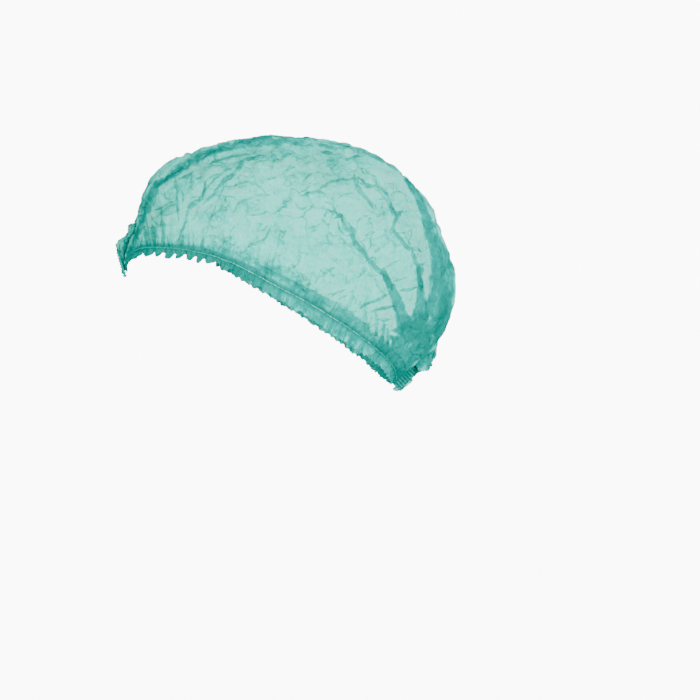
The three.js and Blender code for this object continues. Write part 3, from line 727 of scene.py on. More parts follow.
    (0.78, 0.3, 82.9, 28, 0.8, 81.4, 30, 0.8, 80.3, 33.9, 0.8),
    (0.78, 0.25, 17.4, 35.5, 1.12, 19.3, 36.7, 1.12, 21.5, 37.4, 1.12),
    (0.78, 0.25, 26.7, 30.8, 0.96, 28.5, 29.1, 0.96, 31, 28.3, 0.96),
    (0.78, 0.25, 39.2, 31.6, 1.04, 41.3, 33.2, 1.04, 43.9, 34.2, 1.04, 47.3, 35.8, 1.04),
    (0.69, 0.2, 35.3, 25.3, 0.88, 36.3, 28.1, 0.88, 38.4, 30, 0.88, 41.5, 31.9, 0.88),
    (0.69, 0.2, 46.2, 16.7, 0.96, 48.5, 19.4, 0.96, 51.7, 21, 0.96, 54.8, 22.2, 0.96),
    (0.59, 0.2, 43.1, 18.3, 0.8, 45.4, 19.4, 0.8, 47.8, 19.1, 0.8),
    (0.59, 0.2, 62.6, 30, 0.8, 65.7, 32.4, 0.8, 68.9, 34.7, 0.8),
    (1.57, 0.4, 22, 26.7, 0.8, 24.3, 24.9, 1.12, 26.7, 22.5, 1.28, 29, 20.5, 1.44),
    (0.69, 0.2, 70.4, -2.8, 0.64, 74.3, 0.3, 0.64),
    (0.59, 0.2, 50.1, 15.2, 0.72, 53.2, 17.5, 0.72, 56.4, 18.3, 0.72),
))


@dataclass
class Crown(ClothPiece):
    """The pleated cloth of the cap, from one gathered hem over the top to the other.

    Attributes:
        form: The smooth form that it is laid on.
        view: The elevation in which its dense places are laid out.
        name: The object's name.
        rows: Steps from weld to weld.
        gap_columns: Columns shared out among the stretches between folds.
        top_share: Weight of the top length beside the rim length in the spacing of rows.
        cloth_width: Width of the cloth laid flat, in mm.
        flat_width: The same in metres; not used.
        flat_length: Length of the cloth laid flat, in metres.
        layer_gap: Distance between two layers of a fold, in mm.
        pillow: Height of the soft zigzag between folds, in mm.
        gather_pitch: Distance between the pleats on the elastic, in mm.
        samples: Points across a row from which its length is measured.
        hem_allowance: Width of cloth that the two hems take up, in mm.
        least_fold: Least room that a fold gets, in mm.
        fullest_fold: Most of the room between two folds that one may cover.
        apart: Share of that room that stays free between two folds.
        least_layers: Lowest layer count.
        crest_span: Where along the cap the top's own unevenness starts and ends.
        crest_steps: Height of that unevenness at even steps, in mm.
        waist: Points along each elastic, filled in by build.
        folds: Every pleat that stays folded.
    """

    form: CapForm
    view: SideView
    name: str = "crown_cloth"
    rows: int = 340
    gap_columns: int = 224
    top_share: float = 0.55
    cloth_width: float = 350.0
    flat_width: float = 0.350
    flat_length: float = 0.350
    layer_gap: float = 0.42
    pillow: float = 1.3
    gather_pitch: float = 6.9
    samples: int = 401
    hem_allowance: float = 16.0
    least_fold: float = 1.6
    fullest_fold: float = 0.70
    apart: float = 0.10
    least_layers: float = 0.50
    crest_span: tuple[float, float] = (0.05, 0.94)
    crest_steps: tuple[float, ...] = (
        -2.25, -4, -4, -4, -3.08, -2.6, -3.41, -3.56, -2.04, -1.97, -0.91, -0.05, 0.18, 0.09, -0.07, -0.22,
        0.54, 1.1, 1.01, 1.12, 1.56, 1.58, 1.81, 0.83, 1.17, 1.01, -0.99, -0.9, -0.07, -1.17, -2.75, -1.12,
        -0.34, -0.27, 0.13, -0.79, -0.65, -0.23, -1.09, -1.24, -1.47, -0.41, -0.72, -1.27, -1.02, -0.03,
        0.05, 0.21, 0.14, 0.35, 0.13, -0.36, -0.26, -0.49, -1.16, -1.62, -1.58, -0.21, -1.17, -1.47, -0.68,
        -0.56, -0.91, -0.53, -0.67, 0.4, 0.23, 0.38, 0.43, 0.96, 1.75, 2, 1.51, 1.82, 0.93, -0.1, 0.56,
        1.37, 0.23, -0.47, -0.22, 0.79, 0.7, 0.38, 0.75, 1.34, 1.65, 2.17, 2.58, 1.33, -0.47, -1.45, -1.47,
        -1.21, -0.49, 0.23, 0.85, 0.74, 1.07, 1.02, -0.05, 1.34, 2.09, 1.21, 2.46, 3.12, 2.86, 1.3, 0.54,
        0.03, 0.47, 0.81,
    )
    waist: dict[Side, np.ndarray] = field(default_factory=dict)
    folds: tuple[Fold, ...] = field(default_factory=all_folds)

    def build(self) -> bpy.types.Object:
        """Makes the cloth as one mesh with its own UV maps and layer count.

        Returns:
            The new object, at the origin.
        """
        t = self.form.stations(self.rows, self.top_share)
        sheet = self._columns(t, *self._fold_tracks(t))
        u = self._across(t, sheet["x"])
        grid_t = np.repeat(t[:, None], u.shape[1], axis=1)
        base = self.form.surface(u, grid_t)
        rim = self._rim_run(t)
        above = np.minimum(sheet["x"], sheet["length"][:, None] - sheet["x"])
        height = sheet["lift"] + self._puff(sheet["x"], sheet["length"], t, u)
        height += self._crumple(base, grid_t)
        height += self._gathers(rim, above, u, sheet["length"])
        knots = np.linspace(*self.crest_span, len(self.crest_steps))
        height += np.interp(grid_t, knots, self.crest_steps) * (1.0 - smooth(0.35, 0.75, np.abs(u)))
        points = base + self.form.normal(u, grid_t) * height[..., None]
        layers = self._layers(sheet, base, points, above, u, grid_t)
        along = np.repeat((t * self.flat_length)[:, None], u.shape[1], axis=1)
        cloth_map = np.stack([sheet["cloth"] * MM, along], axis=-1)
        side = np.where(u < 0.0, 0.6, 0.0)
        rim_grid = np.repeat(rim[:, None], u.shape[1], axis=1)
        hem_map = np.stack([rim_grid * MM + side, above * MM], axis=-1)
        self.waist = {Side.RIGHT: points[:, 0], Side.LEFT: points[:, -1]}
        maps = {"cloth": cloth_map, "hem": hem_map}
        return grid_object(self.name, points * MM, maps, layers)

    def _fold_tracks(self, t: np.ndarray) -> tuple[np.ndarray, np.ndarray, np.ndarray]:
        """Finds where each fold runs in each row, and how far it laps over.

        Args:
            t: Where each row is.

        Returns:
            Row lengths, fold centres and fold overlaps in mm, the last two by row and fold.
        """
        rows = len(t)
        dense = np.linspace(-1.0, 1.0, self.samples)
        curve = self.form.surface(dense[None, :], t[:, None])
        steps = np.linalg.norm(np.diff(curve, axis=1), axis=2)
        run = np.concatenate([np.zeros((rows, 1)), np.cumsum(steps, axis=1)], axis=1)
        length = run[:, -1]
        centres = np.empty((rows, len(self.folds)))
        widths = np.empty_like(centres)
        open_share = smooth(0.02, 0.14, t) * (1.0 - smooth(0.86, 0.98, t))
        for k, fold in enumerate(self.folds):
            across = fold.across(t)
            for j in range(rows):
                centres[j, k] = np.interp(across[j], dense, run[j])
            track = spots_at(0.0, t * WELD_TO_WELD, fold.seed * 50.0)
            wander = 0.7 * value_noise(track, 15.0, 5) + 0.6 * value_noise(track, 6.5, 6)
            centres[:, k] += open_share * wander * np.minimum(length / 200.0, 1.0)
            noisy = 1.0 + 0.5 * value_noise(track, 8.0, 7) + 0.4 * value_noise(track, 3.6, 8)
            width = fold.overlap(t)
            widths[:, k] = np.where(width > 0.0, width * noisy, width)
        spacing = length[:, None] / len(self.folds)
        spare = (self.cloth_width - self.hem_allowance - length[:, None]) / (2.0 * len(self.folds))
        packed = np.maximum(smooth(70.0, 25.0, length) * (t < 0.5), smooth(190.0, 90.0, length) * (t > 0.5))
        widths = widths + (np.maximum(widths, spare) - widths) * packed[:, None]
        widths = np.minimum(widths, self.fullest_fold * spacing)
        need = np.maximum(widths, self.least_fold)
        for k in range(1, len(self.folds)):
            least = centres[:, k - 1] + 0.5 * (need[:, k - 1] + need[:, k]) + self.apart * spacing[:, 0]
            centres[:, k] = np.maximum(centres[:, k], least)
        last = length - 0.5 * need[:, -1] - 0.06 * spacing[:, 0]
        for k in range(len(self.folds) - 1, -1, -1):
            centres[:, k] = np.minimum(centres[:, k], last)
            if k:
                last = centres[:, k] - 0.5 * (need[:, k] + need[:, k - 1]) - self.apart * spacing[:, 0]
        return length, centres, widths

    def _columns(
        self, t: np.ndarray, length: np.ndarray, centres: np.ndarray, widths: np.ndarray
    ) -> dict[str, np.ndarray]:
        """Lays the columns across every row, over and back at each fold.

        Args:
            t: Where each row is.
            length: Row lengths in mm.
            centres: Fold places by row and fold.
            widths: Fold overlaps by row and fold.

        Returns:
            Place across (x), height (lift), cloth run (cloth), layer count (stack) and row length.
        """
        rows, folds = centres.shape
        middle = rows // 2
        bounds = np.concatenate([[0.0], centres[middle], [length[middle]]])
        bias = np.where(0.5 * (bounds[1:] + bounds[:-1]) > 0.5 * length[middle], 1.2, 0.8)
        share = np.maximum(np.diff(bounds), 7.0) * bias
        counts = np.maximum(np.round(self.gap_columns * share / share.sum()).astype(int), 6)
        start, lift_in = np.zeros(rows), np.zeros(rows)
        xs, lifts, stacks = [], [], []
        for k in range(folds + 1):
            if k < folds:
                half = 0.5 * widths[:, k]
                outer = np.where(half >= 0.0, half + 0.12 * np.exp(-half / 0.3), 0.12 - 3.0 * half)
                marks = [centres[:, k] + d for d in (-outer, half, -half, outer)]
                end = marks[0]
            else:
                end = length
            f = np.linspace(0.0, 1.0, counts[k] + 1)[1 if k else 0:]
            x = start[:, None] + (end - start)[:, None] * f[None, :]
            fade = np.exp(-(x - start[:, None]) / 3.2) * (1.0 - f[None, :] ** 2)
            xs.append(x)
            lifts.append(lift_in[:, None] * fade)
            stacks.append(np.ones_like(x))
            if k == folds:
                break
            track = spots_at(7.0 * k, t * WELD_TO_WELD, 0.0)
            there = smooth(0.1, 1.2, widths[:, k]) * (0.8 + 0.3 * value_noise(track, 5.0, 71))
            layer = self.layer_gap * smooth(0.0, 1.0, widths[:, k])
            levels = ((0.0, 0.35, 0.5, 0.8), (0.8, 1.2, 0.5, 0.9), (1.65, 2.0, 0.5, 0.7))
            for (a, b), (h0, h1, inside, crease) in zip(zip(marks[:-1], marks[1:]), levels):
                span = np.maximum(np.abs(b - a), 1e-3)
                e = np.minimum(0.5 / span, 1.0 / 3.0)
                g = np.stack([e, 1.0 - e, np.ones(rows)], axis=1)
                xs.append(a[:, None] + (b - a)[:, None] * g)
                lifts.append(layer[:, None] * (h0 + (h1 - h0) * g))
                stacks.append(1.0 + there[:, None] * np.array([[inside, inside, crease]]))
            start, lift_in = marks[-1], 2.0 * layer
        x, lift, stack = (np.concatenate(part, axis=1) for part in (xs, lifts, stacks))
        cloth = np.concatenate([np.zeros((rows, 1)), np.cumsum(np.abs(np.diff(x, axis=1)), axis=1)], axis=1)
        cloth = cloth - 0.5 * (cloth[:, :1] + cloth[:, -1:])
        return {"x": x, "lift": lift, "stack": stack, "cloth": cloth, "length": length}

    def _across(self, t: np.ndarray, x: np.ndarray) -> np.ndarray:
        """Turns places across in mm into u.

        Args:
            t: Where each row is.
            x: Place across in mm.

        Returns:
            u for each point.
        """
        dense = np.linspace(-1.0, 1.0, self.samples)
        u = np.empty_like(x)
        for j in range(len(t)):
            run = run_along(self.form.surface(dense, np.full_like(dense, t[j])))
            u[j] = np.interp(x[j], run, dense)
        return u

    def _rim_run(self, t: np.ndarray) -> np.ndarray:
        """Length along the rim at each row, in mm, from the middle of the side."""
        fine = np.linspace(0.0, 1.0, 2001)
        return np.interp(t, fine, run_along(self.form.surface(np.ones_like(fine), fine)))

    def _puff(self, x: np.ndarray, length: np.ndarray, t: np.ndarray, u: np.ndarray) -> np.ndarray:
        """Soft zigzag that the pleats leave between their folds, and bubbles along the top, in mm."""
        phase = 2.0 * math.pi * x / length[:, None] * 5.5
        wave = np.sin(phase + 1.3 * np.sin(5.0 * t)[:, None])
        strength = self.pillow * smooth(0.0, 0.12, t) * (1.0 - smooth(0.93, 1.0, t))
        edge = smooth(0.0, 22.0, x) * smooth(0.0, 22.0, length[:, None] - x)
        run = spots_at((t * WELD_TO_WELD)[:, None], 9.0 * u, 0.0)
        slide = 2.2 * value_noise(run, 17.0, 33)
        bubble = np.abs(np.sin(math.pi * (run[..., 0] + slide) / 7.5)) - 0.5
        size = 1.5 * value_noise(run, 21.0, 34) + 1.1
        crest = np.exp(-((u / 0.22) ** 2)) * smooth(0.0, 0.05, t)[:, None]
        return strength[:, None] * wave * edge + 0.30 * np.maximum(size, 0.1) * bubble * crest

    def _crumple(self, base: np.ndarray, t: np.ndarray) -> np.ndarray:
        """Creases of folded and opened nonwoven: flat facets between sharp bends, in mm."""
        warp = np.stack([value_noise(base, 26.0, 40 + k) for k in range(3)], axis=-1)
        p = base + 6.0 * warp
        height = 1.1 * value_noise(base, 24.0, 50)
        rng = np.random.default_rng(7)
        for k in range(9):
            direction = rng.normal(size=3)
            direction /= np.linalg.norm(direction)
            pitch = 9.0 + 2.6 * k
            ramp = np.mod(p @ direction / pitch + rng.random(), 1.0)
            mask = smooth(-0.25, 0.45, value_noise(base, 30.0, 60 + k))
            height += 0.062 * pitch * (2.0 * np.abs(ramp - 0.5) - 0.5) * mask
        edges = cell_edges(p, 13.0, 90)
        height -= 0.55 * np.exp(-edges / 1.1)
        fine = cell_edges(p + 1.5 * warp[..., ::-1], 6.0, 95)
        height -= 0.22 * np.exp(-fine / 0.7)
        ends = smooth(0.0, 0.10, t) * (1.0 - 0.8 * smooth(0.94, 1.0, t))
        return 0.85 * height * (0.25 + 0.75 * ends)

    def _gathers(self, rim: np.ndarray, above: np.ndarray, u: np.ndarray, length: np.ndarray) -> np.ndarray:
        """Small pleats that stand on the elastic and run out above it, in mm.

        Args:
            rim: Length along the rim for each row.
            above: Distance above the elastic.
            u: Across the cap.
            length: Row lengths.

        Returns:
            Height of the pleats for each point.
        """
        side = np.where(u > 0.0, 40.0, -40.0)
        spot = spots_at(rim[:, None], side, 0.0)
        slide = 2.4 * value_noise(spot, 23.0, 20) + 1.3 * value_noise(spot, 9.0, 21)
        main = 2.0 * math.pi * (spot[..., 0] + slide) / self.gather_pitch
        small = 2.3 * main + 2.0 * value_noise(spot, 6.0, 24)
        tall = np.maximum(8.0 + 6.0 * value_noise(spot, 5.0, 22), 3.0)
        shape = np.sin(main) * 0.75 + 0.35 * np.sin(small + 1.5 * np.sin(main))
        free = smooth(3.0, 30.0, length)[:, None]
        return np.exp(-above / tall) * (0.22 + 0.5 * smooth(0.0, 5.0, above)) * shape * free

    def _layers(
        self,
        sheet: dict[str, np.ndarray],
        base: np.ndarray,
        points: np.ndarray,
        above: np.ndarray,
        u: np.ndarray,
        t: np.ndarray,
    ) -> np.ndarray:
        """How many thicknesses of cloth each point stands for.

        Args:
            sheet: The columns' places and stacks.
            base: Points of the smooth cap.
            points: Points of the creased cloth, in mm.
            above: Distance above the elastic.
            u: Across the cap.
            t: Along the cap.

        Returns:
            The layer count for each point.
        """
        length = sheet["length"][:, None]
        lump = value_noise(base, 19.0, 30)
        fleck = value_noise(base, 6.5, 31)
        fine = value_noise(base, 2.9, 32)
        count = sheet["stack"] - 0.27 + 0.17 * lump + 0.16 * fleck + 0.09 * fine
        count = count + 2.2 * (1.0 - smooth(4.0, 26.0, length)) + 0.9 * (1.0 - smooth(0.03, 0.10, t))
        deep = 2.6 - 0.5 * smooth(0.3, 0.45, t) + 0.9 * smooth(0.45, 0.8, t)
        band = np.exp(-((above / deep) ** 2)) * (3.0 - 0.9 * smooth(0.3, 0.5, t) + 0.8 * fleck)
        haze = np.exp(-above / (4.0 + 3.0 * smooth(0.45, 0.8, t))) * (0.45 + 0.5 * smooth(0.4, 0.75, t))
        count = count + band + haze * (1.0 + 0.6 * lump)
        rough = 0.6 * value_noise(points, 3.6, 36) + 0.4 * value_noise(points, 1.9, 37)
        near = smooth(-0.22, -0.10, u)
        for side, share in ((Side.LEFT, near), (Side.RIGHT, 1.0 - near)):
            seen = share > 0.0
            spots = self.view.place(points[seen], side)
            extra = np.zeros(len(spots))
            for place in DENSE_PLACES:
                uneven = 1.0 + place.mottle * (fleck[seen] + 0.8 * fine[seen])
                extra += place.layers * place.share(spots, rough[seen]) * uneven
            count[seen] += share[seen] * extra
        return np.clip(count, self.least_layers, MOST_LAYERS)

    def declare(self, cloth: bpy.types.Object, pieces: list[bpy.types.Object]) -> None:
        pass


def grid_object(
    name: str, points: np.ndarray, maps: dict[str, np.ndarray], layers: np.ndarray
) -> bpy.types.Object:
    """Makes a grid of cloth points a mesh object at the origin.

    Args:
        name: The object's name.
        points: Points in metres by row and column.
        maps: UV maps by name, in metres.
        layers: Thicknesses of cloth at each point.

    Returns:
        The new object.
    """
    rows, cols = points.shape[:2]
    index = np.arange(rows * cols).reshape(rows, cols)
    a, b = index[:-1, :-1], index[:-1, 1:]
    c, d = index[1:, 1:], index[1:, :-1]
    quads = np.stack([a, b, c, d], axis=-1).reshape(-1, 4)
    flat_maps = {label: uv.reshape(-1, 2) for label, uv in maps.items()}
    values = {"layers": layers.reshape(-1), "cover": np.ones(rows * cols)}
    return quad_object(name, points.reshape(-1, 3), quads, flat_maps, values)


def quad_object(
    name: str,
    points: np.ndarray,
    quads: np.ndarray,
    maps: dict[str, np.ndarray],
    values: dict[str, np.ndarray],
) -> bpy.types.Object:
    """Makes a smooth mesh object of four-sided faces, with UV maps and point values.

    Args:
        name: The object's name.
        points: Points in metres, one row each.
        quads: Point numbers of each face.
        maps: UV of each point by map name.
        values: Number of each point by attribute name.

    Returns:
        The new, linked object.
    """
    mesh = bpy.data.meshes.new(name)
    mesh.vertices.add(len(points))
    mesh.vertices.foreach_set("co", points.reshape(-1).astype(np.float32))
    mesh.loops.add(quads.size)
    mesh.loops.foreach_set("vertex_index", quads.reshape(-1).astype(np.int32))
    mesh.polygons.add(len(quads))
    mesh.polygons.foreach_set("loop_start", np.arange(0, quads.size, 4, dtype=np.int32))
    mesh.polygons.foreach_set("use_smooth", np.ones(len(quads), dtype=bool))
    mesh.update(calc_edges=True)
    for label, uv in maps.items():
        layer = mesh.uv_layers.new(name=label)
        layer.data.foreach_set("uv", uv[quads.reshape(-1)].reshape(-1).astype(np.float32))
    for label, numbers in values.items():
        attribute = mesh.attributes.new(label, "FLOAT", "POINT")
        attribute.data.foreach_set("value", numbers.astype(np.float32))
    mesh.validate()
    piece = bpy.data.objects.new(name, mesh)
    bpy.context.collection.objects.link(piece)
    LOG.info("%s: %d vertices", name, len(points))
    return piece


@dataclass
class HemFrill(ClothPiece):
    """The ragged frill below one elastic, gathered into small teeth."""

    form: CapForm
    side: Side
    step: float = 0.42
    rings: int = 13
    evened: int = 9
    front_pitch: float = 7.9
    side_pitch: float = 5.6
    tiny_pitch: float = 2.9
    flare: float = 1.5

    def build(self, waist: np.ndarray, t: np.ndarray) -> bpy.types.Object:
        """Makes the frill along the waist of the cloth.

        Args:
            waist: Points of the cloth along the waist, in mm.
            t: Where each point is along the cap.

        Returns:
            The new object.
        """
        run = run_along(waist)
        at = np.linspace(0.0, run[-1], int(run[-1] / self.step))
        line = along_line(at, run, waist)
        where = np.interp(at, run, t)
        out = self.form.normal(np.full_like(where, float(self.side.value)), where)
        down = self.form.down(where)
        way = np.gradient(line, axis=0)
        kernel = np.full(self.evened, 1.0 / self.evened)
        for k in range(3):
            way[:, k] = np.convolve(way[:, k], kernel, mode="same")
        way = unit(way)
        front = 1.0 - smooth(0.37, 0.50, where)
        spot = spots_at(at, 60.0 * self.side.value, 0.0)
        slide = 2.2 * value_noise(spot, 19.0, 120) + 0.9 * value_noise(spot, 8.0, 121)
        small = self._tooth((at + 1.3 * slide) / self.side_pitch, 0.62, 123)
        tiny = self._tooth((at - slide) / self.tiny_pitch, 0.55, 124)
        ends = smooth(0.01, 0.06, where) * (1.0 - smooth(0.965, 1.0, where))
        full = self.form.column("frill", where)
        hook = self._hook((at + slide) / self.front_pitch, 122)
        tall = 3.2 - 0.7 * smooth(0.25, 0.45, where)
        longer = 0.9 * (1.0 - smooth(0.22, 0.40, where))
        teeth = front * tall * (hook - 0.62) + (1.0 - front) * (1.3 * small + 0.5 * tiny - 0.6)
        edge = full - 0.4 + ends * (longer + teeth)
        edge += ends * 0.5 * value_noise(spot, 6.0, 125)
        v = np.linspace(0.0, 1.0, self.rings)
        phase = 2.0 * math.pi * (at + slide) / self.front_pitch
        wave = np.sin(phase) * 0.6 + 0.5 * np.sin(1.9 * phase + 2.0 * value_noise(spot, 9.0, 126))
        flare = self.flare * (0.45 + 0.55 * front)
        swing = (wave * flare)[:, None] * (0.25 + 0.75 * v[None, :]) * np.minimum(v * 5.0, 1.0)[None, :]
        swing += 0.7 * v[None, :] ** 2
        lean = -1.2 * (v[None, :] ** 2) * (front * hook)[:, None]
        lean += 1.2 * v[None, :] * value_noise(spot, 7.0, 127)[:, None]
        points = line[:, None, :] + down[:, None, :] * (edge[:, None] * v[None, :])[..., None]
        points += out[:, None, :] * (swing * ends[:, None])[..., None]
        points += way[:, None, :] * (lean * ends[:, None])[..., None]
        layers = self._layers(at, v, front, np.maximum(hook * front, small * (1.0 - front)), where)
        cloth_map = np.stack([np.repeat(at[:, None], self.rings, 1), edge[:, None] * v[None, :]], axis=-1)
        shift = 600.0 if self.side is Side.RIGHT else 0.0
        hem_map = np.stack([cloth_map[..., 0] + shift, -cloth_map[..., 1]], axis=-1)
        name = "hem_frill_" + self.side.name.lower()
        if self.side is Side.RIGHT:
            points, layers = points[:, ::-1], layers[:, ::-1]
            cloth_map, hem_map = cloth_map[:, ::-1], hem_map[:, ::-1]
        maps = {"cloth": cloth_map * MM + 0.7, "hem": hem_map * MM}
        return grid_object(name, points * MM, maps, layers)

    def _teeth(self, phase: np.ndarray) -> tuple[np.ndarray, np.ndarray]:
        """The place within each tooth, and the tooth's number as a cell of the noise."""
        whole = np.floor(phase)
        return phase - whole, spots_at(whole, 0.0, 0.0)

    def _tooth(self, phase: np.ndarray, crest: float, seed: int) -> np.ndarray:
        """Uneven sawtooth in 0..1 that leans along the hem.

        Args:
            phase: Number of the tooth plus the place in it.
            crest: Place of the tip within each tooth.
            seed: Which set of uneven sizes.

        Returns:
            The tooth's height at each phase.
        """
        part, cells = self._teeth(phase)
        size = 0.62 + 0.38 * hashed(cells, seed)
        rise = np.clip((part - 0.12) / (crest - 0.12), 0.0, 1.0)
        fall = np.clip((1.0 - part) / (1.0 - crest), 0.0, 1.0)
        return size * np.where(part < crest, rise**1.25, fall**0.8)

    def _hook(self, phase: np.ndarray, seed: int) -> np.ndarray:
        """Uneven rounded hooks in 0..1 with bare hem between them.

        Args:
            phase: Number of the hook plus the place in it.
            seed: Which set of uneven sizes.

        Returns:
            The hook's height at each phase.
        """
        part, cells = self._teeth(phase)
        size = 0.70 + 0.30 * hashed(cells, seed)
        wide = 0.66 + 0.16 * hashed(cells, seed + 1)
        return size * np.sin(math.pi * np.clip(part / wide, 0.0, 1.0)) ** 0.55

    def _layers(
        self, at: np.ndarray, v: np.ndarray, front: np.ndarray, tooth: np.ndarray, where: np.ndarray
    ) -> np.ndarray:
        """Thicknesses of cloth over the frill, fewer towards the tips as painted light.

        Args:
            at: Length along the hem in mm.
            v: Share of the way down the frill.
            front: 1 at the front of the cap, 0 at its side.
            tooth: Height of the teeth in 0..1.
            where: Where along the cap.

        Returns:
            The layer count by place along and down.
        """
        across = np.repeat(at[:, None], len(v), axis=1)
        deep = np.repeat(v[None, :], len(at), axis=0)
        slant = across + 2.2 * deep
        coarse = value_noise(spots_at(slant, 3.0 * deep, 60.0), 2.6, 130)
        fine = value_noise(spots_at(slant, 1.5 * deep, 90.0), 1.15, 131)
        strokes = smooth(0.05, 0.75, 0.65 * coarse + 0.5 * fine)
        side = 1.55 + 1.6 * np.exp(-deep * 5.0) + 1.5 * strokes * (1.0 - 0.3 * deep)
        # Painted light: fewer layers towards the tips, so the downward-facing teeth are paler against their
        # shade.
        side -= 0.5 * smooth(0.55, 1.0, deep)
        ahead = 4.8 + 1.0 * np.exp(-deep * 3.0) + 0.6 * fine + 1.4 * tooth[:, None] * smooth(0.3, 0.9, deep)
        count = side + (ahead - side) * front[:, None]
        count += 1.5 * smooth(0.86, 0.96, where)[:, None]
        return np.clip(count, 1.5, 8.0)


@dataclass
class PressedCreases(ClothPiece):
    """Sharp creases and narrow folds of the crown, each a low ridge of doubled cloth on its surface."""

    view: SideView
    side: Side
    step: float = 0.65
    bend: float = 0.7
    drift: float = 4.0
    lift: float = 0.16
    ridge: float = 0.30
    offsets: tuple[float, ...] = (-1.0, -0.80, -0.42, 0.0, 0.42, 0.80, 1.0)
    rounded: tuple[float, ...] = (0.0, 0.22, 0.72, 1.0, 0.62, 0.20, 0.0)
    flat: tuple[float, ...] = (0.0, 0.85, 0.80, 0.75, 0.80, 1.0, 0.0)

    def build(self, cloth: bpy.types.Object, lines: tuple[CreaseLine, ...]) -> bpy.types.Object:
        """Lays every crease on the cloth.

        Args:
            cloth: The crown's cloth.
            lines: The creases.

        Returns:
            The new object.
        """
        mesh = cloth.data
        corners = np.empty(len(mesh.vertices) * 3)
        mesh.vertices.foreach_get("co", corners)
        corners = corners.reshape(-1, 3) / MM
        faces = np.empty(len(mesh.loops), dtype=np.int32)
        mesh.loops.foreach_get("vertex_index", faces)
        faces = faces.reshape(-1, 4)
        stack = np.empty(len(mesh.vertices))
        mesh.attributes["layers"].data.foreach_get("value", stack)
        under = stack[faces].mean(axis=1)
        tree = BVHTree.FromPolygons(corners.tolist(), faces.tolist())
        points, quads, flat, layers, cover = [], [], [], [], []
        for number, line in enumerate(lines):
            self._lay(number, line, tree, under, (points, quads, flat, layers, cover))
        flat_map = np.array(flat)
        maps = {"cloth": flat_map * MM, "hem": np.tile(FAR_FROM_HEM, (len(flat_map), 1))}
        values = {"layers": np.clip(np.array(layers), THINNEST_PIECE, MOST_LAYERS), "cover": np.array(cover)}
        name = "pressed_creases_" + self.side.name.lower()
        return quad_object(name, np.array(points) * MM, np.array(quads, dtype=np.int32), maps, values)

    def _track(self, number: int, line: CreaseLine) -> tuple[np.ndarray, np.ndarray, np.ndarray]:
        """Even points along a crease in the elevation, with the small wander of a real one.

        Args:
            number: Number of the crease.
            line: The crease.

        Returns:
            Places, widths and run along it, in mm.
        """
        knots = np.array(line.path).reshape(-1, 3)
        run = run_along(knots[:, :2])
        at = np.linspace(0.0, run[-1], max(int(run[-1] / self.step), 3) + 1)
        track = eased(knots, run, np.gradient(knots, run, axis=0), at, self.bend)
        spot = spots_at(at, 23.0 * number, 0.0)
        shift = 0.34 * value_noise(spot, 3.6, 81) + 0.18 * value_noise(spot, 1.5, 82)
        way = unit(np.gradient(track[:, :2], axis=0))
        places = track[:, :2] + np.stack([-way[:, 1], way[:, 0]], axis=-1) * shift[:, None]
        if self.side is Side.RIGHT:
            flat_track = spots_at(track[:, 0], track[:, 1], 0.0)
            for axis, seed in ((0, 83), (1, 84)):
                places[:, axis] += self.drift * value_noise(flat_track, 34.0, seed)
        widths = track[:, 2] * (1.0 + 0.22 * value_noise(spot, 2.6, 85))
        return places, widths, at

    def _lay(
        self, number: int, line: CreaseLine, tree: BVHTree, under: np.ndarray, parts: tuple[list, ...]
    ) -> None:
        """Lays one crease on the cloth and adds it to the lists.

        Args:
            number: Number of the crease.
            line: The crease.
            tree: The cloth's faces, in mm.
            under: Layer count of each face of the cloth.
            parts: Points, faces, flat places, layers and covers so far.
        """
        points, quads, flat, layers, cover = parts
        places, widths, at = self._track(number, line)
        way = unit(np.gradient(places, axis=0))
        lateral = np.stack([-way[:, 1], way[:, 0]], axis=-1)
        across = np.array(self.offsets)
        rounded = np.array(self.rounded if number % 2 else self.rounded[::-1])
        profile = rounded + (np.array(self.flat) - rounded) * line.crisp
        reach = min(5.0, 0.42 * at[-1])
        taper = smooth(0.0, reach, at) * (1.0 - smooth(at[-1] - reach, at[-1], at))
        half = widths * (1.0 - 0.42 * line.crisp) * (0.35 + 0.65 * taper)
        spots = places[:, None, :] + lateral[:, None, :] * (half[:, None] * across[None, :])[..., None]
        eye, rays = self.view.ray(spots.reshape(-1, 2), self.side)
        start = len(points)
        cols = len(across)
        found = []
        fresh = []
        for k, ray in enumerate(rays):
            row, col = divmod(k, cols)
            spot, normal, face, _ = tree.ray_cast(eye.tolist(), ray.tolist())
            found.append(spot is not None)
            if spot is None:
                fresh.append(((0.0, 0.0, 0.0), 1.0))
                continue
            normal = np.array(normal)
            normal *= -1.0 if normal @ ray > 0.0 else 1.0
            height = self.lift + self.ridge * profile[col] * taper[row]
            fresh.append((tuple(np.array(spot) + normal * height), under[face]))
        found = np.array(found).reshape(-1, cols)
        keep = found.all(axis=1)
        number_of = {}
        for row in range(len(at)):
            if not keep[row]:
                continue
            number_of[row] = start + len(number_of) * cols
            for col in range(cols):
                spot, base = fresh[row * cols + col]
                points.append(spot)
                flat.append((at[row] + 31.0 * number, half[row] * across[col]))
                layers.append(base + line.layers * profile[col] * taper[row])
                cover.append(float(smooth(0.0, 0.60, profile[col]) * taper[row]))
        turn = float(np.sign(np.cross(way[0], lateral[0]))) * self.side.value
        for row in range(len(at) - 1):
            if row in number_of and row + 1 in number_of:
                for col in range(cols - 1):
                    a, b = number_of[row] + col, number_of[row + 1] + col
                    quad = (a, b, b + 1, a + 1) if turn > 0.0 else (a, a + 1, b + 1, b)
                    quads.append(quad)


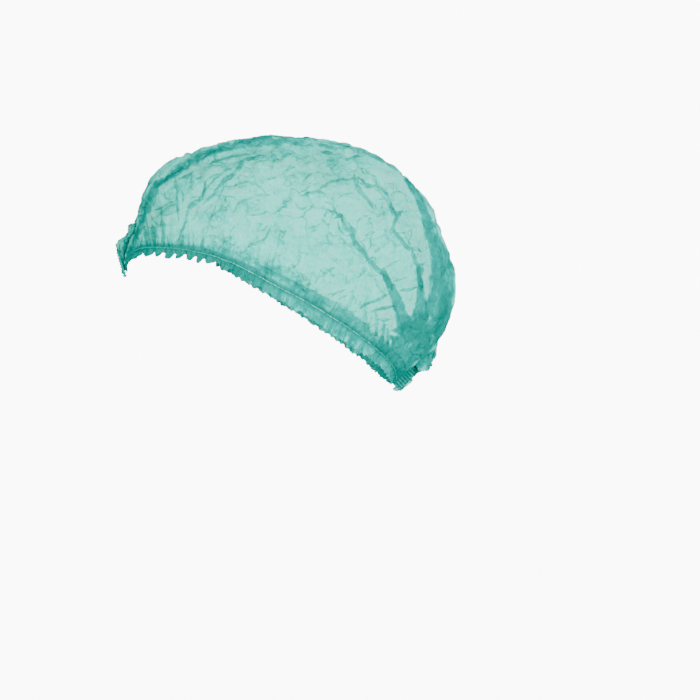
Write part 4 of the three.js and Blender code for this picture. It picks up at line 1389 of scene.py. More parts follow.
class Tree:
    """Small helper that adds and links shader nodes."""

    def __init__(self, tree: bpy.types.NodeTree) -> None:
        """Keeps the node tree to build in."""
        self.tree = tree

    def add(self, kind: str, **values: object) -> bpy.types.Node:
        """Adds a node.

        Args:
            kind: The node's type.
            **values: Properties of the node.

        Returns:
            The new node.
        """
        node = self.tree.nodes.new(kind)
        for key, value in values.items():
            setattr(node, key, value)
        return node

    def fed(self, kind: str, inputs: dict[str, object], **values: object) -> bpy.types.Node:
        """Adds a node and feeds its inputs by name.

        Args:
            kind: The node's type.
            inputs: Value or socket for each named input.
            **values: Properties of the node.

        Returns:
            The new node.
        """
        node = self.add(kind, **values)
        for name, value in inputs.items():
            self.feed(value, node.inputs[name])
        return node

    def link(self, source: bpy.types.NodeSocket, target: bpy.types.NodeSocket) -> None:
        """Links two sockets."""
        self.tree.links.new(source, target)

    def feed(self, value: object, target: bpy.types.NodeSocket) -> None:
        """Links a socket to the target, or sets the target to a plain value."""
        if isinstance(value, bpy.types.NodeSocket):
            self.link(value, target)
        else:
            target.default_value = value

    def math(self, operation: str, a: object, b: object = 0.0, c: object = 0.0) -> bpy.types.NodeSocket:
        """One Math node.

        Args:
            operation: The node's operation.
            a: First value or socket.
            b: Second value or socket.
            c: Third value or socket.

        Returns:
            The result's socket.
        """
        node = self.add("ShaderNodeMath", operation=operation)
        for k, value in enumerate((a, b, c)):
            self.feed(value, node.inputs[k])
        return node.outputs[0]

    def chain(self, operation: str, values: list[bpy.types.NodeSocket]) -> bpy.types.NodeSocket:
        """The same Math operation over a list of sockets, from the first on."""
        total = values[0]
        for value in values[1:]:
            total = self.math(operation, total, value)
        return total

    def vector(self, operation: str, a: object, b: object, c: object = None) -> bpy.types.NodeSocket:
        """One Vector Math node with a vector result.

        Args:
            operation: The node's operation.
            a: First vector or socket.
            b: Second vector or socket.
            c: Third vector or socket, if the operation has one.

        Returns:
            The result's socket.
        """
        node = self.add("ShaderNodeVectorMath", operation=operation)
        for k, value in enumerate((a, b, c)):
            if value is not None:
                self.feed(value, node.inputs[k])
        return node.outputs[0]

    def remap(
        self, value: object, low: float, high: float, new_low: float = 0.0, new_high: float = 1.0
    ) -> bpy.types.NodeSocket:
        """One Map Range node with a smooth step, clamped.

        Args:
            value: Value or socket to map.
            low: Start of the old range.
            high: End of the old range.
            new_low: Start of the new range.
            new_high: End of the new range.

        Returns:
            The result's socket.
        """
        node = self.add("ShaderNodeMapRange", interpolation_type="SMOOTHSTEP")
        for k, item in enumerate((value, low, high, new_low, new_high)):
            self.feed(item, node.inputs[k])
        return node.outputs[0]

    def mix(self, factor: object, a: object, b: object) -> bpy.types.NodeSocket:
        """One Mix node for colours.

        Args:
            factor: Share of the second colour.
            a: First colour or socket.
            b: Second colour or socket.

        Returns:
            The mixed colour's socket.
        """
        node = self.add("ShaderNodeMix", data_type="RGBA")
        self.feed(factor, node.inputs[0])
        self.feed(a, node.inputs[6])
        self.feed(b, node.inputs[7])
        return node.outputs[2]

    def blend(self, factor: object, a: bpy.types.NodeSocket, b: bpy.types.NodeSocket) -> bpy.types.NodeSocket:
        """One Mix Shader node: the second shader's share is the factor."""
        node = self.add("ShaderNodeMixShader")
        for k, value in enumerate((factor, a, b)):
            self.feed(value, node.inputs[k])
        return node.outputs[0]

    def ramp(self, value: object, stops: tuple[tuple[float, tuple[float, ...]], ...]) -> bpy.types.NodeSocket:
        """One Color Ramp node.

        Args:
            value: Factor or socket.
            stops: Place and colour of each stop, in order.

        Returns:
            The colour's socket.
        """
        node = self.add("ShaderNodeValToRGB")
        node.color_ramp.interpolation = "EASE"
        while len(node.color_ramp.elements) < len(stops):
            node.color_ramp.elements.new(0.5)
        for element, (place, colour) in zip(node.color_ramp.elements, stops):
            element.position = place
            element.color = colour
        self.feed(value, node.inputs[0])
        return node.outputs[0]

    def scaled(self, vector: bpy.types.NodeSocket, *scale: float) -> bpy.types.NodeSocket:
        """One Mapping node that scales a vector, by one number or by one for each axis."""
        size = tuple(1.0 / k for k in (scale if len(scale) == 3 else scale * 3))
        inputs = {"Scale": size, "Vector": vector}
        return self.fed("ShaderNodeMapping", inputs, vector_type="TEXTURE").outputs[0]

    def noise(
        self, vector: bpy.types.NodeSocket, detail: float = 2.0, bend: float = 0.0
    ) -> bpy.types.NodeSocket:
        """One Noise Texture of scale 1.

        Args:
            vector: Where to read it.
            detail: Octaves.
            bend: Distortion.

        Returns:
            The noise's socket.
        """
        inputs = {"Scale": 1.0, "Detail": detail, "Distortion": bend, "Vector": vector}
        return self.fed("ShaderNodeTexNoise", inputs).outputs["Fac"]

    def bump(self, relief: bpy.types.NodeSocket, strength: float) -> bpy.types.NodeSocket:
        """One Bump node for a relief in metres."""
        inputs = {"Strength": strength, "Distance": 1.0, "Height": relief}
        return self.fed("ShaderNodeBump", inputs).outputs[0]


def shader_group(
    name: str, inputs: dict[str, str], outputs: tuple[str, ...]
) -> tuple[Tree, bpy.types.Node, bpy.types.Node]:
    """Starts a shader group.

    Args:
        name: Name of the group.
        inputs: Kind of each input socket by its name.
        outputs: Names of the outputs, which are all numbers.

    Returns:
        The group's tree, its input node and its output node.
    """
    group = bpy.data.node_groups.new(name, "ShaderNodeTree")
    for label, kind in inputs.items():
        group.interface.new_socket(name=label, in_out="INPUT", socket_type="NodeSocket" + kind)
    for label in outputs:
        group.interface.new_socket(name=label, in_out="OUTPUT", socket_type="NodeSocketFloat")
    t = Tree(group)
    return t, t.add("NodeGroupInput"), t.add("NodeGroupOutput")


def new_material(name: str) -> tuple[bpy.types.Material, Tree, bpy.types.Node]:
    """A new material, its tree and its Principled shader."""
    material = bpy.data.materials.new(name)
    material.use_nodes = True
    return material, Tree(material.node_tree), material.node_tree.nodes["Principled BSDF"]


def gather_group() -> bpy.types.NodeTree:
    """Shader group for the fine pleats that stand on the elastic, and the pressed cloth beside it.

    Returns:
        The group, with the hem's UV vector in metres as input and Streaks and Seam as outputs.
    """
    t, entry, target = shader_group("hem_gathers", {"Vector": "Vector"}, ("Streaks", "Seam"))
    source = entry.outputs["Vector"]
    parts = t.fed("ShaderNodeSeparateXYZ", {"Vector": source})
    broad = t.remap(t.noise(t.scaled(source, 300.0, 26.0, 1.0), 2.0, 0.3), 0.50, 0.64)
    fine = t.remap(t.noise(t.scaled(source, 780.0, 70.0, 1.0), 1.0, 0.2), 0.50, 0.68)
    reach = t.remap(t.noise(t.scaled(source, 170.0, 2.0, 1.0), 1.0), 0.36, 0.70, 0.0028, 0.017)
    up = t.math("MAXIMUM", parts.outputs[1], 0.0)
    fade = t.math("EXPONENT", t.math("MULTIPLY", t.math("DIVIDE", up, reach), -1.0))
    both = t.math("MAXIMUM", broad, t.math("MULTIPLY", fine, 0.6))
    t.link(t.math("MULTIPLY", both, fade), target.inputs["Streaks"])
    away = t.math("ABSOLUTE", parts.outputs[1])
    uneven = t.remap(t.noise(t.scaled(source, 520.0, 200.0, 1.0), 1.0), 0.35, 0.65, 0.55, 1.0)
    seam = t.math("MULTIPLY", t.remap(away, 0.0030, 0.0009), uneven)
    t.link(seam, target.inputs["Seam"])
    return t.tree


def crease_group() -> bpy.types.NodeTree:
    """Shader group for crumpled nonwoven: painted shade of slanted facets, one-sided crease lines of doubled
    cloth with painted shade on one side, and their height.

    Returns:
        The group, with Position, Size, Seed and Width as inputs, and as outputs the crease lines (doubled
        cloth with painted shade on one side), the facets' painted shade and the height.
    """
    inputs = {"Position": "Vector", "Size": "Float", "Seed": "Float", "Width": "Float"}
    t, source, target = shader_group("nonwoven_creases", inputs, ("Lines", "FacetShade", "Height"))
    shift = t.fed("ShaderNodeCombineXYZ", {"X": source.outputs["Seed"]})
    scale = t.math("DIVIDE", 1.0, source.outputs["Size"])
    moved = t.vector("MULTIPLY_ADD", source.outputs["Position"], scale, shift.outputs[0])
    bend = t.fed("ShaderNodeTexNoise", {"Scale": 0.9, "Detail": 3.0, "Roughness": 0.6, "Vector": moved})
    swing = t.vector("SUBTRACT", bend.outputs["Color"], (0.5, 0.5, 0.5))
    bent = t.vector("MULTIPLY_ADD", swing, (1.5, 1.5, 1.5), moved)
    where = {"Scale": 1.0, "Vector": bent}
    cells = t.fed("ShaderNodeTexVoronoi", where)
    borders = t.fed("ShaderNodeTexVoronoi", where, feature="DISTANCE_TO_EDGE")
    away = t.vector("SUBTRACT", bent, cells.outputs["Position"])
    lean = t.vector("SUBTRACT", cells.outputs["Color"], (0.5, 0.5, 0.5))
    facet = t.add("ShaderNodeVectorMath", operation="DOT_PRODUCT")
    t.link(away, facet.inputs[0])
    t.link(lean, facet.inputs[1])
    facet = facet.outputs["Value"]
    near = t.math("DIVIDE", borders.outputs["Distance"], source.outputs["Width"])
    line = t.math("EXPONENT", t.math("MULTIPLY", near, -1.0))
    red = t.add("ShaderNodeSeparateColor")
    t.link(cells.outputs["Color"], red.inputs[0])
    # A line shows only in some cells, so it fades into one side of a border only: painted shade on one side
    # of the fold.
    one_side = t.remap(red.outputs[0], 0.30, 0.60)
    shown = t.remap(t.noise(t.vector("ADD", moved, (17.3, 4.1, 9.7)), 2.0, 0.4), 0.42, 0.62)
    line = t.math("MULTIPLY", t.math("MULTIPLY", line, one_side), shown)
    t.link(line, target.inputs["Lines"])
    # Painted shade: the facets' slant, which the finish adds to the layer count and so to the colour.
    t.link(t.math("MULTIPLY", facet, 3.2), target.inputs["FacetShade"])
    t.link(t.math("MULTIPLY_ADD", line, -0.25, t.math("MULTIPLY", facet, 1.4)), target.inputs["Height"])
    return t.tree


def fibre_group() -> bpy.types.NodeTree:
    """Shader group for the cloudy fibres and bond points of spun nonwoven.

    Returns:
        The group, with a UV vector in metres as input and Cloud, Fibres and Bonds as outputs.
    """
    t, entry, target = shader_group("nonwoven_fibres", {"Vector": "Vector"}, ("Cloud", "Fibres", "Bonds"))
    source = entry.outputs["Vector"]
    inputs = {"Scale": 420.0, "Detail": 4.0, "Roughness": 0.62, "Vector": source}
    t.link(t.fed("ShaderNodeTexNoise", inputs).outputs["Fac"], target.inputs["Cloud"])
    strands = []
    for turn, seed in ((0.5, 0.0), (-0.6, 3.0), (1.45, 7.0)):
        place = {"Rotation": (0.0, 0.0, turn), "Location": (seed, seed, 0.0), "Scale": (2600.0, 160.0, 1.0)}
        strand = t.fed("ShaderNodeMapping", {**place, "Vector": source}).outputs[0]
        strands.append(t.remap(t.noise(strand, 2.0, 0.6), 0.5, 0.72))
    t.link(t.chain("MAXIMUM", strands), target.inputs["Fibres"])
    place = {"Rotation": (0.0, 0.0, 0.785), "Scale": (620.0, 620.0, 1.0), "Vector": source}
    dots = t.fed("ShaderNodeMapping", place).outputs[0]
    inputs = {"Scale": 1.0, "Randomness": 0.05, "Vector": dots}
    bonds = t.fed("ShaderNodeTexVoronoi", inputs, voronoi_dimensions="2D")
    t.link(t.remap(bonds.outputs["Distance"], 0.32, 0.2), target.inputs["Bonds"])
    return t.tree


@dataclass(frozen=True)
class NonwovenFinish:
    """Thin see-through turquoise nonwoven cloth, darker and denser with each layer, with painted shade of its
    crumpled facets and of one side of its creases.
    """

    shades: tuple[tuple[float, tuple[float, ...]], ...] = (
        (0.030, (0.42, 0.92, 0.83, 1.0)),
        (0.060, (0.26, 0.87, 0.77, 1.0)),
        (0.090, (0.15, 0.84, 0.71, 1.0)),
        (0.125, (0.075, 0.79, 0.645, 1.0)),
        (0.180, (0.018, 0.62, 0.515, 1.0)),
        (0.260, (0.0, 0.42, 0.355, 1.0)),
        (0.390, (0.0, 0.315, 0.270, 1.0)),
        (0.580, (0.0, 0.255, 0.216, 1.0)),
        (0.900, (0.0, 0.220, 0.180, 1.0)),
    )
    one_layer: float = 0.95
    through: tuple[float, float, float, float] = (0.32, 0.82, 0.74, 1.0)
    glow: float = 0.22
    creases: tuple[tuple[float, float, float, float, float], ...] = (
        (0.0190, 0.0, 0.042, 1.0, 0.20),
        (0.0095, 5.0, 0.070, 0.90, 0.22),
        (0.0046, 9.0, 0.12, 0.45, 0.22),
    )

    def material(
        self, creases: bpy.types.NodeTree, fibres: bpy.types.NodeTree, gathers: bpy.types.NodeTree
    ) -> bpy.types.Material:
        """Builds the material.

        Args:
            creases: The crease group.
            fibres: The fibre group.
            gathers: The hem gather group.

        Returns:
            The finished material.
        """
        material = bpy.data.materials.new("nonwoven_cloth")
        material.use_nodes = True
        t = Tree(material.node_tree)
        material.node_tree.nodes.clear()
        place = t.add("ShaderNodeTexCoord")
        cloth_map = t.add("ShaderNodeUVMap", uv_map="cloth")
        hem_map = t.add("ShaderNodeUVMap", uv_map="hem")
        lines, facets, heights = [], [], []
        for size, seed, width, sharp, shade in self.creases:
            inputs = {"Position": place.outputs["Object"], "Size": size, "Seed": seed, "Width": width}
            node = t.fed("ShaderNodeGroup", inputs, node_tree=creases)
            lines.append(t.math("MULTIPLY", node.outputs["Lines"], sharp))
            facets.append(t.math("MULTIPLY", node.outputs["FacetShade"], shade))
            heights.append(t.math("MULTIPLY", node.outputs["Height"], size * 0.30))
        # The crease lines add doubled cloth, and paint shade on one side of each fold.
        fold = t.chain("MAXIMUM", lines)
        facet_shade = t.chain("ADD", facets)
        rise = t.chain("ADD", heights)
        fibre = t.fed("ShaderNodeGroup", {"Vector": cloth_map.outputs[0]}, node_tree=fibres)
        gather = t.fed("ShaderNodeGroup", {"Vector": hem_map.outputs[0]}, node_tree=gathers)
        stack = t.add("ShaderNodeAttribute", attribute_name="layers")
        # Painted shade: the facets' slant darkens or lightens the colour through the layer count, beside
        # their real bump.
        uneven = t.math("MAXIMUM", t.math("MULTIPLY_ADD", facet_shade, 0.85, 1.0), 0.45)
        count = t.math("MULTIPLY", stack.outputs["Fac"], uneven)
        count = t.math("MULTIPLY_ADD", fold, 1.05, count)
        count = t.math("MULTIPLY_ADD", gather.outputs["Streaks"], 1.7, count)
        count = t.math("MULTIPLY_ADD", gather.outputs["Seam"], 1.5, count)
        cloud = t.math("MULTIPLY_ADD", fibre.outputs["Cloud"], 1.1, 0.45)
        count = t.math("MULTIPLY", count, cloud)
        count = t.math("MULTIPLY_ADD", fibre.outputs["Fibres"], 0.28, count)
        open_share = t.math("POWER", 1.0 - self.one_layer, count)
        there = t.add("ShaderNodeAttribute", attribute_name="cover")
        alpha = t.math("MULTIPLY", t.math("SUBTRACT", 1.0, open_share), there.outputs["Fac"])
        colour = t.ramp(t.math("MULTIPLY", count, 0.125), self.shades)
        relief = t.math("MULTIPLY_ADD", fibre.outputs["Cloud"], 0.00022, rise)
        relief = t.math("MULTIPLY_ADD", gather.outputs["Streaks"], 0.0004, relief)
        relief = t.math("MULTIPLY_ADD", fibre.outputs["Bonds"], -0.00004, relief)
        normal = t.bump(relief, 0.7)
        matt = t.remap(fibre.outputs["Fibres"], 0.0, 1.0, 0.92, 0.7)
        inputs = {"Base Color": colour, "Roughness": matt, "Specular IOR Level": 0.0, "Normal": normal}
        body = t.fed("ShaderNodeBsdfPrincipled", inputs).outputs[0]
        back = t.fed("ShaderNodeBsdfTranslucent", {"Color": colour, "Normal": normal}).outputs[0]
        clear = t.fed("ShaderNodeBsdfTransparent", {"Color": self.through}).outputs[0]
        whole = t.blend(alpha, clear, t.blend(self.glow, body, back))
        t.fed("ShaderNodeOutputMaterial", {"Surface": whole})
        return material


def mesh_object(name: str, vertices: np.ndarray, faces: list[tuple[int, ...]]) -> bpy.types.Object:
    """Makes a smooth-shaded mesh object at the origin.

    Args:
        name: The object's name.
        vertices: Points in metres, one row each.
        faces: Vertex numbers of each face.

    Returns:
        The new, linked object.
    """
    mesh = bpy.data.meshes.new(name)
    mesh.from_pydata([tuple(map(float, v)) for v in vertices], [], faces)
    mesh.polygons.foreach_set("use_smooth", [True] * len(faces))
    mesh.update()
    piece = bpy.data.objects.new(name, mesh)
    bpy.context.collection.objects.link(piece)
    return piece


def turn_outwards(piece: bpy.types.Object, merge: bool = True) -> None:
    """Points the faces of a closed mesh outwards, after its doubles are merged if asked for."""
    shape = bmesh.new()
    shape.from_mesh(piece.data)
    if merge:
        bmesh.ops.remove_doubles(shape, verts=shape.verts, dist=1e-6)
    bmesh.ops.recalc_face_normals(shape, faces=shape.faces)
    shape.to_mesh(piece.data)
    shape.free()


def add_cloth_maps(piece: bpy.types.Object, flat: np.ndarray, layers: np.ndarray) -> None:
    """Gives a small cloth piece the maps that the nonwoven finish reads.

    Args:
        piece: The piece.
        flat: Cloth coordinates of each vertex in metres.
        layers: Thicknesses of cloth at each vertex.
    """
    mesh = piece.data
    index = np.empty(len(mesh.loops), dtype=np.int32)
    mesh.loops.foreach_get("vertex_index", index)
    cloth_map = mesh.uv_layers.new(name="cloth")
    cloth_map.data.foreach_set("uv", flat[index].reshape(-1).astype(np.float32))
    hem_map = mesh.uv_layers.new(name="hem")
    far = np.tile(np.array(FAR_FROM_HEM, dtype=np.float32), len(index))
    hem_map.data.foreach_set("uv", far)
    for label, numbers in (("layers", layers), ("cover", np.ones_like(layers))):
        attribute = mesh.attributes.new(label, "FLOAT", "POINT")
        attribute.data.foreach_set("value", numbers.astype(np.float32))


@dataclass
class PleatFan(ClothPiece):
    """Free ends of pleats: thin folded leaves side by side, each a bubble of two layers.

    Outline and root are points in y and z, in millimetres, from one end of the fan to the other.
    """

    name: str
    outline: tuple[tuple[float, float], ...]
    root: tuple[tuple[float, float], ...]
    leaves: int
    spread: float
    puff: float
    dense: float
    seed: int
    edge_layers: tuple[float, ...] = (1.3,)
    steps: int = 40
    rings: int = 8

    def _resampled(self, line: tuple[tuple[float, float], ...]) -> np.ndarray:
        """The line with evenly spaced points."""
        points = np.array(line)
        run = run_along(points)
        return along_line(np.linspace(0.0, run[-1], self.steps + 1), run, points)

    def build(self) -> bpy.types.Object:
        """Makes the leaves as one mesh.

        Returns:
            The new object.
        """
        rng = np.random.default_rng(self.seed)
        edge, root = self._resampled(self.outline), self._resampled(self.root)
        up, down = np.linspace(0.0, 1.0, self.rings), np.linspace(1.0, 0.0, self.rings)
        reach = np.concatenate([up, down[1:]])
        face = np.concatenate([np.ones(self.rings), -np.ones(self.rings - 1)])
        cols = self.steps + 1
        marks = np.linspace(0.0, self.steps, len(self.edge_layers))
        tip = np.interp(np.arange(cols), marks, self.edge_layers)
        vertices, faces, flat, layers = [], [], [], []
        for leaf in range(self.leaves):
            place = 2.0 * leaf / (self.leaves - 1) - 1.0
            shrink = 1.0 - 0.30 * place * place - 0.16 * rng.random() * (abs(place) < 0.99)
            at = spots_at(np.arange(cols) * 1.0, 31.0 * leaf, 0.0)
            tatter = 0.14 * value_noise(at, 4.0, self.seed) + 0.08 * value_noise(at, 1.7, self.seed + 1)
            ragged = shrink * (1.0 + tatter)
            first = len(vertices) * cols
            for ring, (r, f) in enumerate(zip(reach, face)):
                swell = self.puff * math.sin(math.pi * min(r, 0.98)) ** 0.7 * f
                yz = root + (edge - root) * (r * ragged)[:, None]
                spot = spots_at(yz[:, 0], yz[:, 1], 17.0 * leaf + 5.0 * f)
                wobble = 0.8 * r * value_noise(spot, 5.0, self.seed + 2)
                wobble += 0.4 * r * value_noise(spot, 2.2, self.seed + 3)
                x = self.spread * place * (0.35 + 0.65 * r) + swell + wobble
                vertices.append(spots_at(x, yz[:, 0], yz[:, 1]) * MM)
                flat.append(spots_at(np.arange(cols) * 0.0009, 0.002 * ring + 0.03 * leaf))
                thin = smooth(0.45, 0.95, r)
                tone = self.dense * (1.0 + 0.5 * value_noise(spot, 6.0, self.seed + 4))
                layers.append(tone + (tip - tone) * thin)
            for ring in range(len(reach) - 1):
                for k in range(cols - 1):
                    a = first + ring * cols + k
                    faces.append((a, a + 1, a + cols + 1, a + cols))
        piece = mesh_object(self.name, np.concatenate(vertices), faces)
        count = np.clip(np.concatenate(layers), THINNEST_PIECE, MOST_LAYERS)
        add_cloth_maps(piece, np.concatenate(flat), count)
        turn_outwards(piece, merge=False)
        LOG.info("%s: %d leaves", self.name, self.leaves)
        return piece


class GrownPiece:
    """A geometry node tree with named inputs, and the plain mesh that it grows."""

    def __init__(self, name: str, inputs: tuple[tuple[str, str], ...]) -> None:
        """Makes the tree with its sockets.

        Args:
            name: Name of the tree.
            inputs: Name and socket type of each input after the geometry.
        """
        self.tree = bpy.data.node_groups.new(name, "GeometryNodeTree")
        face = self.tree.interface
        face.new_socket(name="Geometry", in_out="INPUT", socket_type="NodeSocketGeometry")
        self.sockets = {}
        for label, kind in inputs:
            socket = face.new_socket(name=label, in_out="INPUT", socket_type=kind)
            self.sockets[label] = socket.identifier
        face.new_socket(name="Geometry", in_out="OUTPUT", socket_type="NodeSocketGeometry")
        self.nodes = Tree(self.tree)
        self.source = self.nodes.add("NodeGroupInput").outputs

    def node(self, kind: str, links: dict[str, object], **values: object) -> bpy.types.Node:
        """Adds a node and feeds its inputs by name.

        Args:
            kind: The node's type.
            links: Value or socket for each named input.
            **values: Properties of the node.

        Returns:
            The new node.
        """
        return self.nodes.fed(kind, links, **values)

    def circle(self, resolution: int, radius: object) -> bpy.types.NodeSocket:
        """A circle to sweep along a curve."""
        return self.node(
            "GeometryNodeCurvePrimitiveCircle", {"Resolution": resolution, "Radius": radius}
        ).outputs[0]

    def sweep(
        self, curve: bpy.types.NodeSocket, profile: bpy.types.NodeSocket, caps: bool
    ) -> bpy.types.NodeSocket:
        """A profile swept along a curve, with closed ends if asked for."""
        links = {"Curve": curve, "Profile Curve": profile, "Fill Caps": caps}
        return self.node("GeometryNodeCurveToMesh", links).outputs[0]

    def between(self, low: tuple[float, ...], high: tuple[float, ...]) -> bpy.types.NodeSocket:
        """A random vector between two others, from the tree's seed."""
        node = self.node("FunctionNodeRandomValue", {"Seed": self.source["Seed"]}, data_type="FLOAT_VECTOR")
        node.inputs[0].default_value = low
        node.inputs[1].default_value = high
        return node.outputs[0]

    def set_out(self, links: dict[str, object]) -> bpy.types.NodeSocket:
        """Copies of a shape on points, made real."""
        copies = self.node("GeometryNodeInstanceOnPoints", links).outputs[0]
        return self.node("GeometryNodeRealizeInstances", {"Geometry": copies}).outputs[0]

    def finished(self, part: bpy.types.NodeSocket, finish: str) -> bpy.types.NodeSocket:
        """A part shaded smooth, with the material of a named input."""
        soft = self.node("GeometryNodeSetShadeSmooth", {"Geometry": part}).outputs[0]
        links = {"Geometry": soft, "Material": self.source[finish]}
        return self.node("GeometryNodeSetMaterial", links).outputs[0]

    def finish(self, parts: list[bpy.types.NodeSocket]) -> None:
        """Joins the parts and links them to the output."""
        join = self.nodes.add("GeometryNodeJoinGeometry")
        for part in reversed(parts):
            self.nodes.link(part, join.inputs[0])
        target = self.nodes.add("NodeGroupOutput")
        self.nodes.link(join.outputs[0], target.inputs[0])

    def grow(self, name: str, seed_mesh: bpy.types.Mesh, values: dict[str, object]) -> bpy.types.Object:
        """Runs the tree and keeps its result as a plain mesh.

        Args:
            name: Name of the new object.
            seed_mesh: The mesh that the tree grows on.
            values: Value of each named input.

        Returns:
            The new object.
        """
        carrier = bpy.data.objects.new(name + "_path", seed_mesh)
        bpy.context.collection.objects.link(carrier)
        modifier = carrier.modifiers.new("grow", "NODES")
        modifier.node_group = self.tree
        for label, value in values.items():
            modifier[self.sockets[label]] = value
        graph = bpy.context.evaluated_depsgraph_get()
        mesh = bpy.data.meshes.new_from_object(carrier.evaluated_get(graph))
        bpy.data.objects.remove(carrier)
        mesh.name = name
        piece = bpy.data.objects.new(name, mesh)
        bpy.context.collection.objects.link(piece)
        turn_outwards(piece)
        LOG.info("%s: %d vertices", name, len(mesh.vertices))
        return piece


def line_mesh(name: str, lines: list[np.ndarray]) -> bpy.types.Mesh:
    """A mesh of open chains of edges.

    Args:
        name: The mesh's name.
        lines: Points of each chain, in metres.

    Returns:
        The new mesh.
    """
    vertices, edges = [], []
    for line in lines:
        first = len(vertices)
        vertices += [tuple(map(float, v)) for v in line]
        edges += [(first + k, first + k + 1) for k in range(len(line) - 1)]
    mesh = bpy.data.meshes.new(name)
    mesh.from_pydata(vertices, edges, [])
    return mesh


@dataclass
class ElasticBand:
    """One elastic of the hem: a thin stretched thread held down by overlock loops."""

    form: CapForm
    side: Side
    thread_radius: float = 0.23
    thread_step: float = 0.9
    loop_radius: float = 0.44
    loop_wire: float = 0.22
    loop_pitch: float = 2.6
    stand_off: float = 0.42
    ends: tuple[float, float] = (0.012, 0.988)

    def tree(self) -> GrownPiece:
        """The tree that sweeps the thread and sets the loops along it.

        Returns:
            The tree, ready to grow.
        """
        floats = ("Thread Radius", "Loop Radius", "Loop Wire", "Loop Pitch")
        inputs = tuple((name, "NodeSocketFloat") for name in floats) + (("Seed", "NodeSocketInt"),)
        inputs += tuple((name, "NodeSocketMaterial") for name in ("Thread Finish", "Loop Finish"))
        g = GrownPiece("elastic_and_loops", inputs)
        s = g.source
        curve = g.node("GeometryNodeMeshToCurve", {"Mesh": s["Geometry"]}).outputs[0]
        links = {"Curve": curve, "Length": self.thread_step * MM}
        even = g.node("GeometryNodeResampleCurve", links, mode="LENGTH").outputs[0]
        thread = g.sweep(even, g.circle(7, s["Thread Radius"]), True)
        loop = g.sweep(g.circle(12, s["Loop Radius"]), g.circle(5, s["Loop Wire"]), False)
        links = {"Curve": curve, "Length": s["Loop Pitch"]}
        spots = g.node("GeometryNodeCurveToPoints", links, mode="LENGTH")
        lean = g.between((-0.75, 0.25, -0.2), (-0.35, 0.65, 0.2))
        links = {"Rotation": spots.outputs["Rotation"], "Rotate By": lean}
        turned = g.node("FunctionNodeRotateRotation", links, rotation_space="LOCAL").outputs[0]
        loops = g.set_out({"Points": spots.outputs["Points"], "Instance": loop, "Rotation": turned})
        g.finish([g.finished(thread, "Thread Finish"), g.finished(loops, "Loop Finish")])
        return g

    def build(
        self,
        tree: GrownPiece,
        waist: np.ndarray,
        t: np.ndarray,
        thread: bpy.types.Material,
        loops: bpy.types.Material,
    ) -> bpy.types.Object:
        """Lays the elastic along the gathered waist of the cloth.

        Args:
            tree: The tree from tree().
            waist: Points of the cloth along the waist, in mm.
            t: Where each point is along the cap.
            thread: Finish of the thread.
            loops: Finish of the loops.

        Returns:
            The new object.
        """
        keep = (t > self.ends[0]) & (t < self.ends[1])
        out = self.form.normal(np.full_like(t, float(self.side.value)), t)
        line = waist + out * self.stand_off
        kernel = np.array([1.0, 2.0, 3.0, 2.0, 1.0]) / 9.0
        for k in range(3):
            padded = np.concatenate([np.full(2, line[0, k]), line[:, k], np.full(2, line[-1, k])])
            line[:, k] = np.convolve(padded, kernel, mode="valid")
        name = "elastic_thread_" + self.side.name.lower()
        values = {
            "Thread Radius": self.thread_radius * MM,
            "Loop Radius": self.loop_radius * MM,
            "Loop Wire": self.loop_wire * MM,
            "Loop Pitch": self.loop_pitch * MM,
            "Seed": 3 + self.side.value,
            "Thread Finish": thread,
            "Loop Finish": loops,
        }
        piece = tree.grow(name, line_mesh(name, [line[keep] * MM]), values)
        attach(piece, "root")
        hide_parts("elastic_" + self.side.name.lower())
        return piece


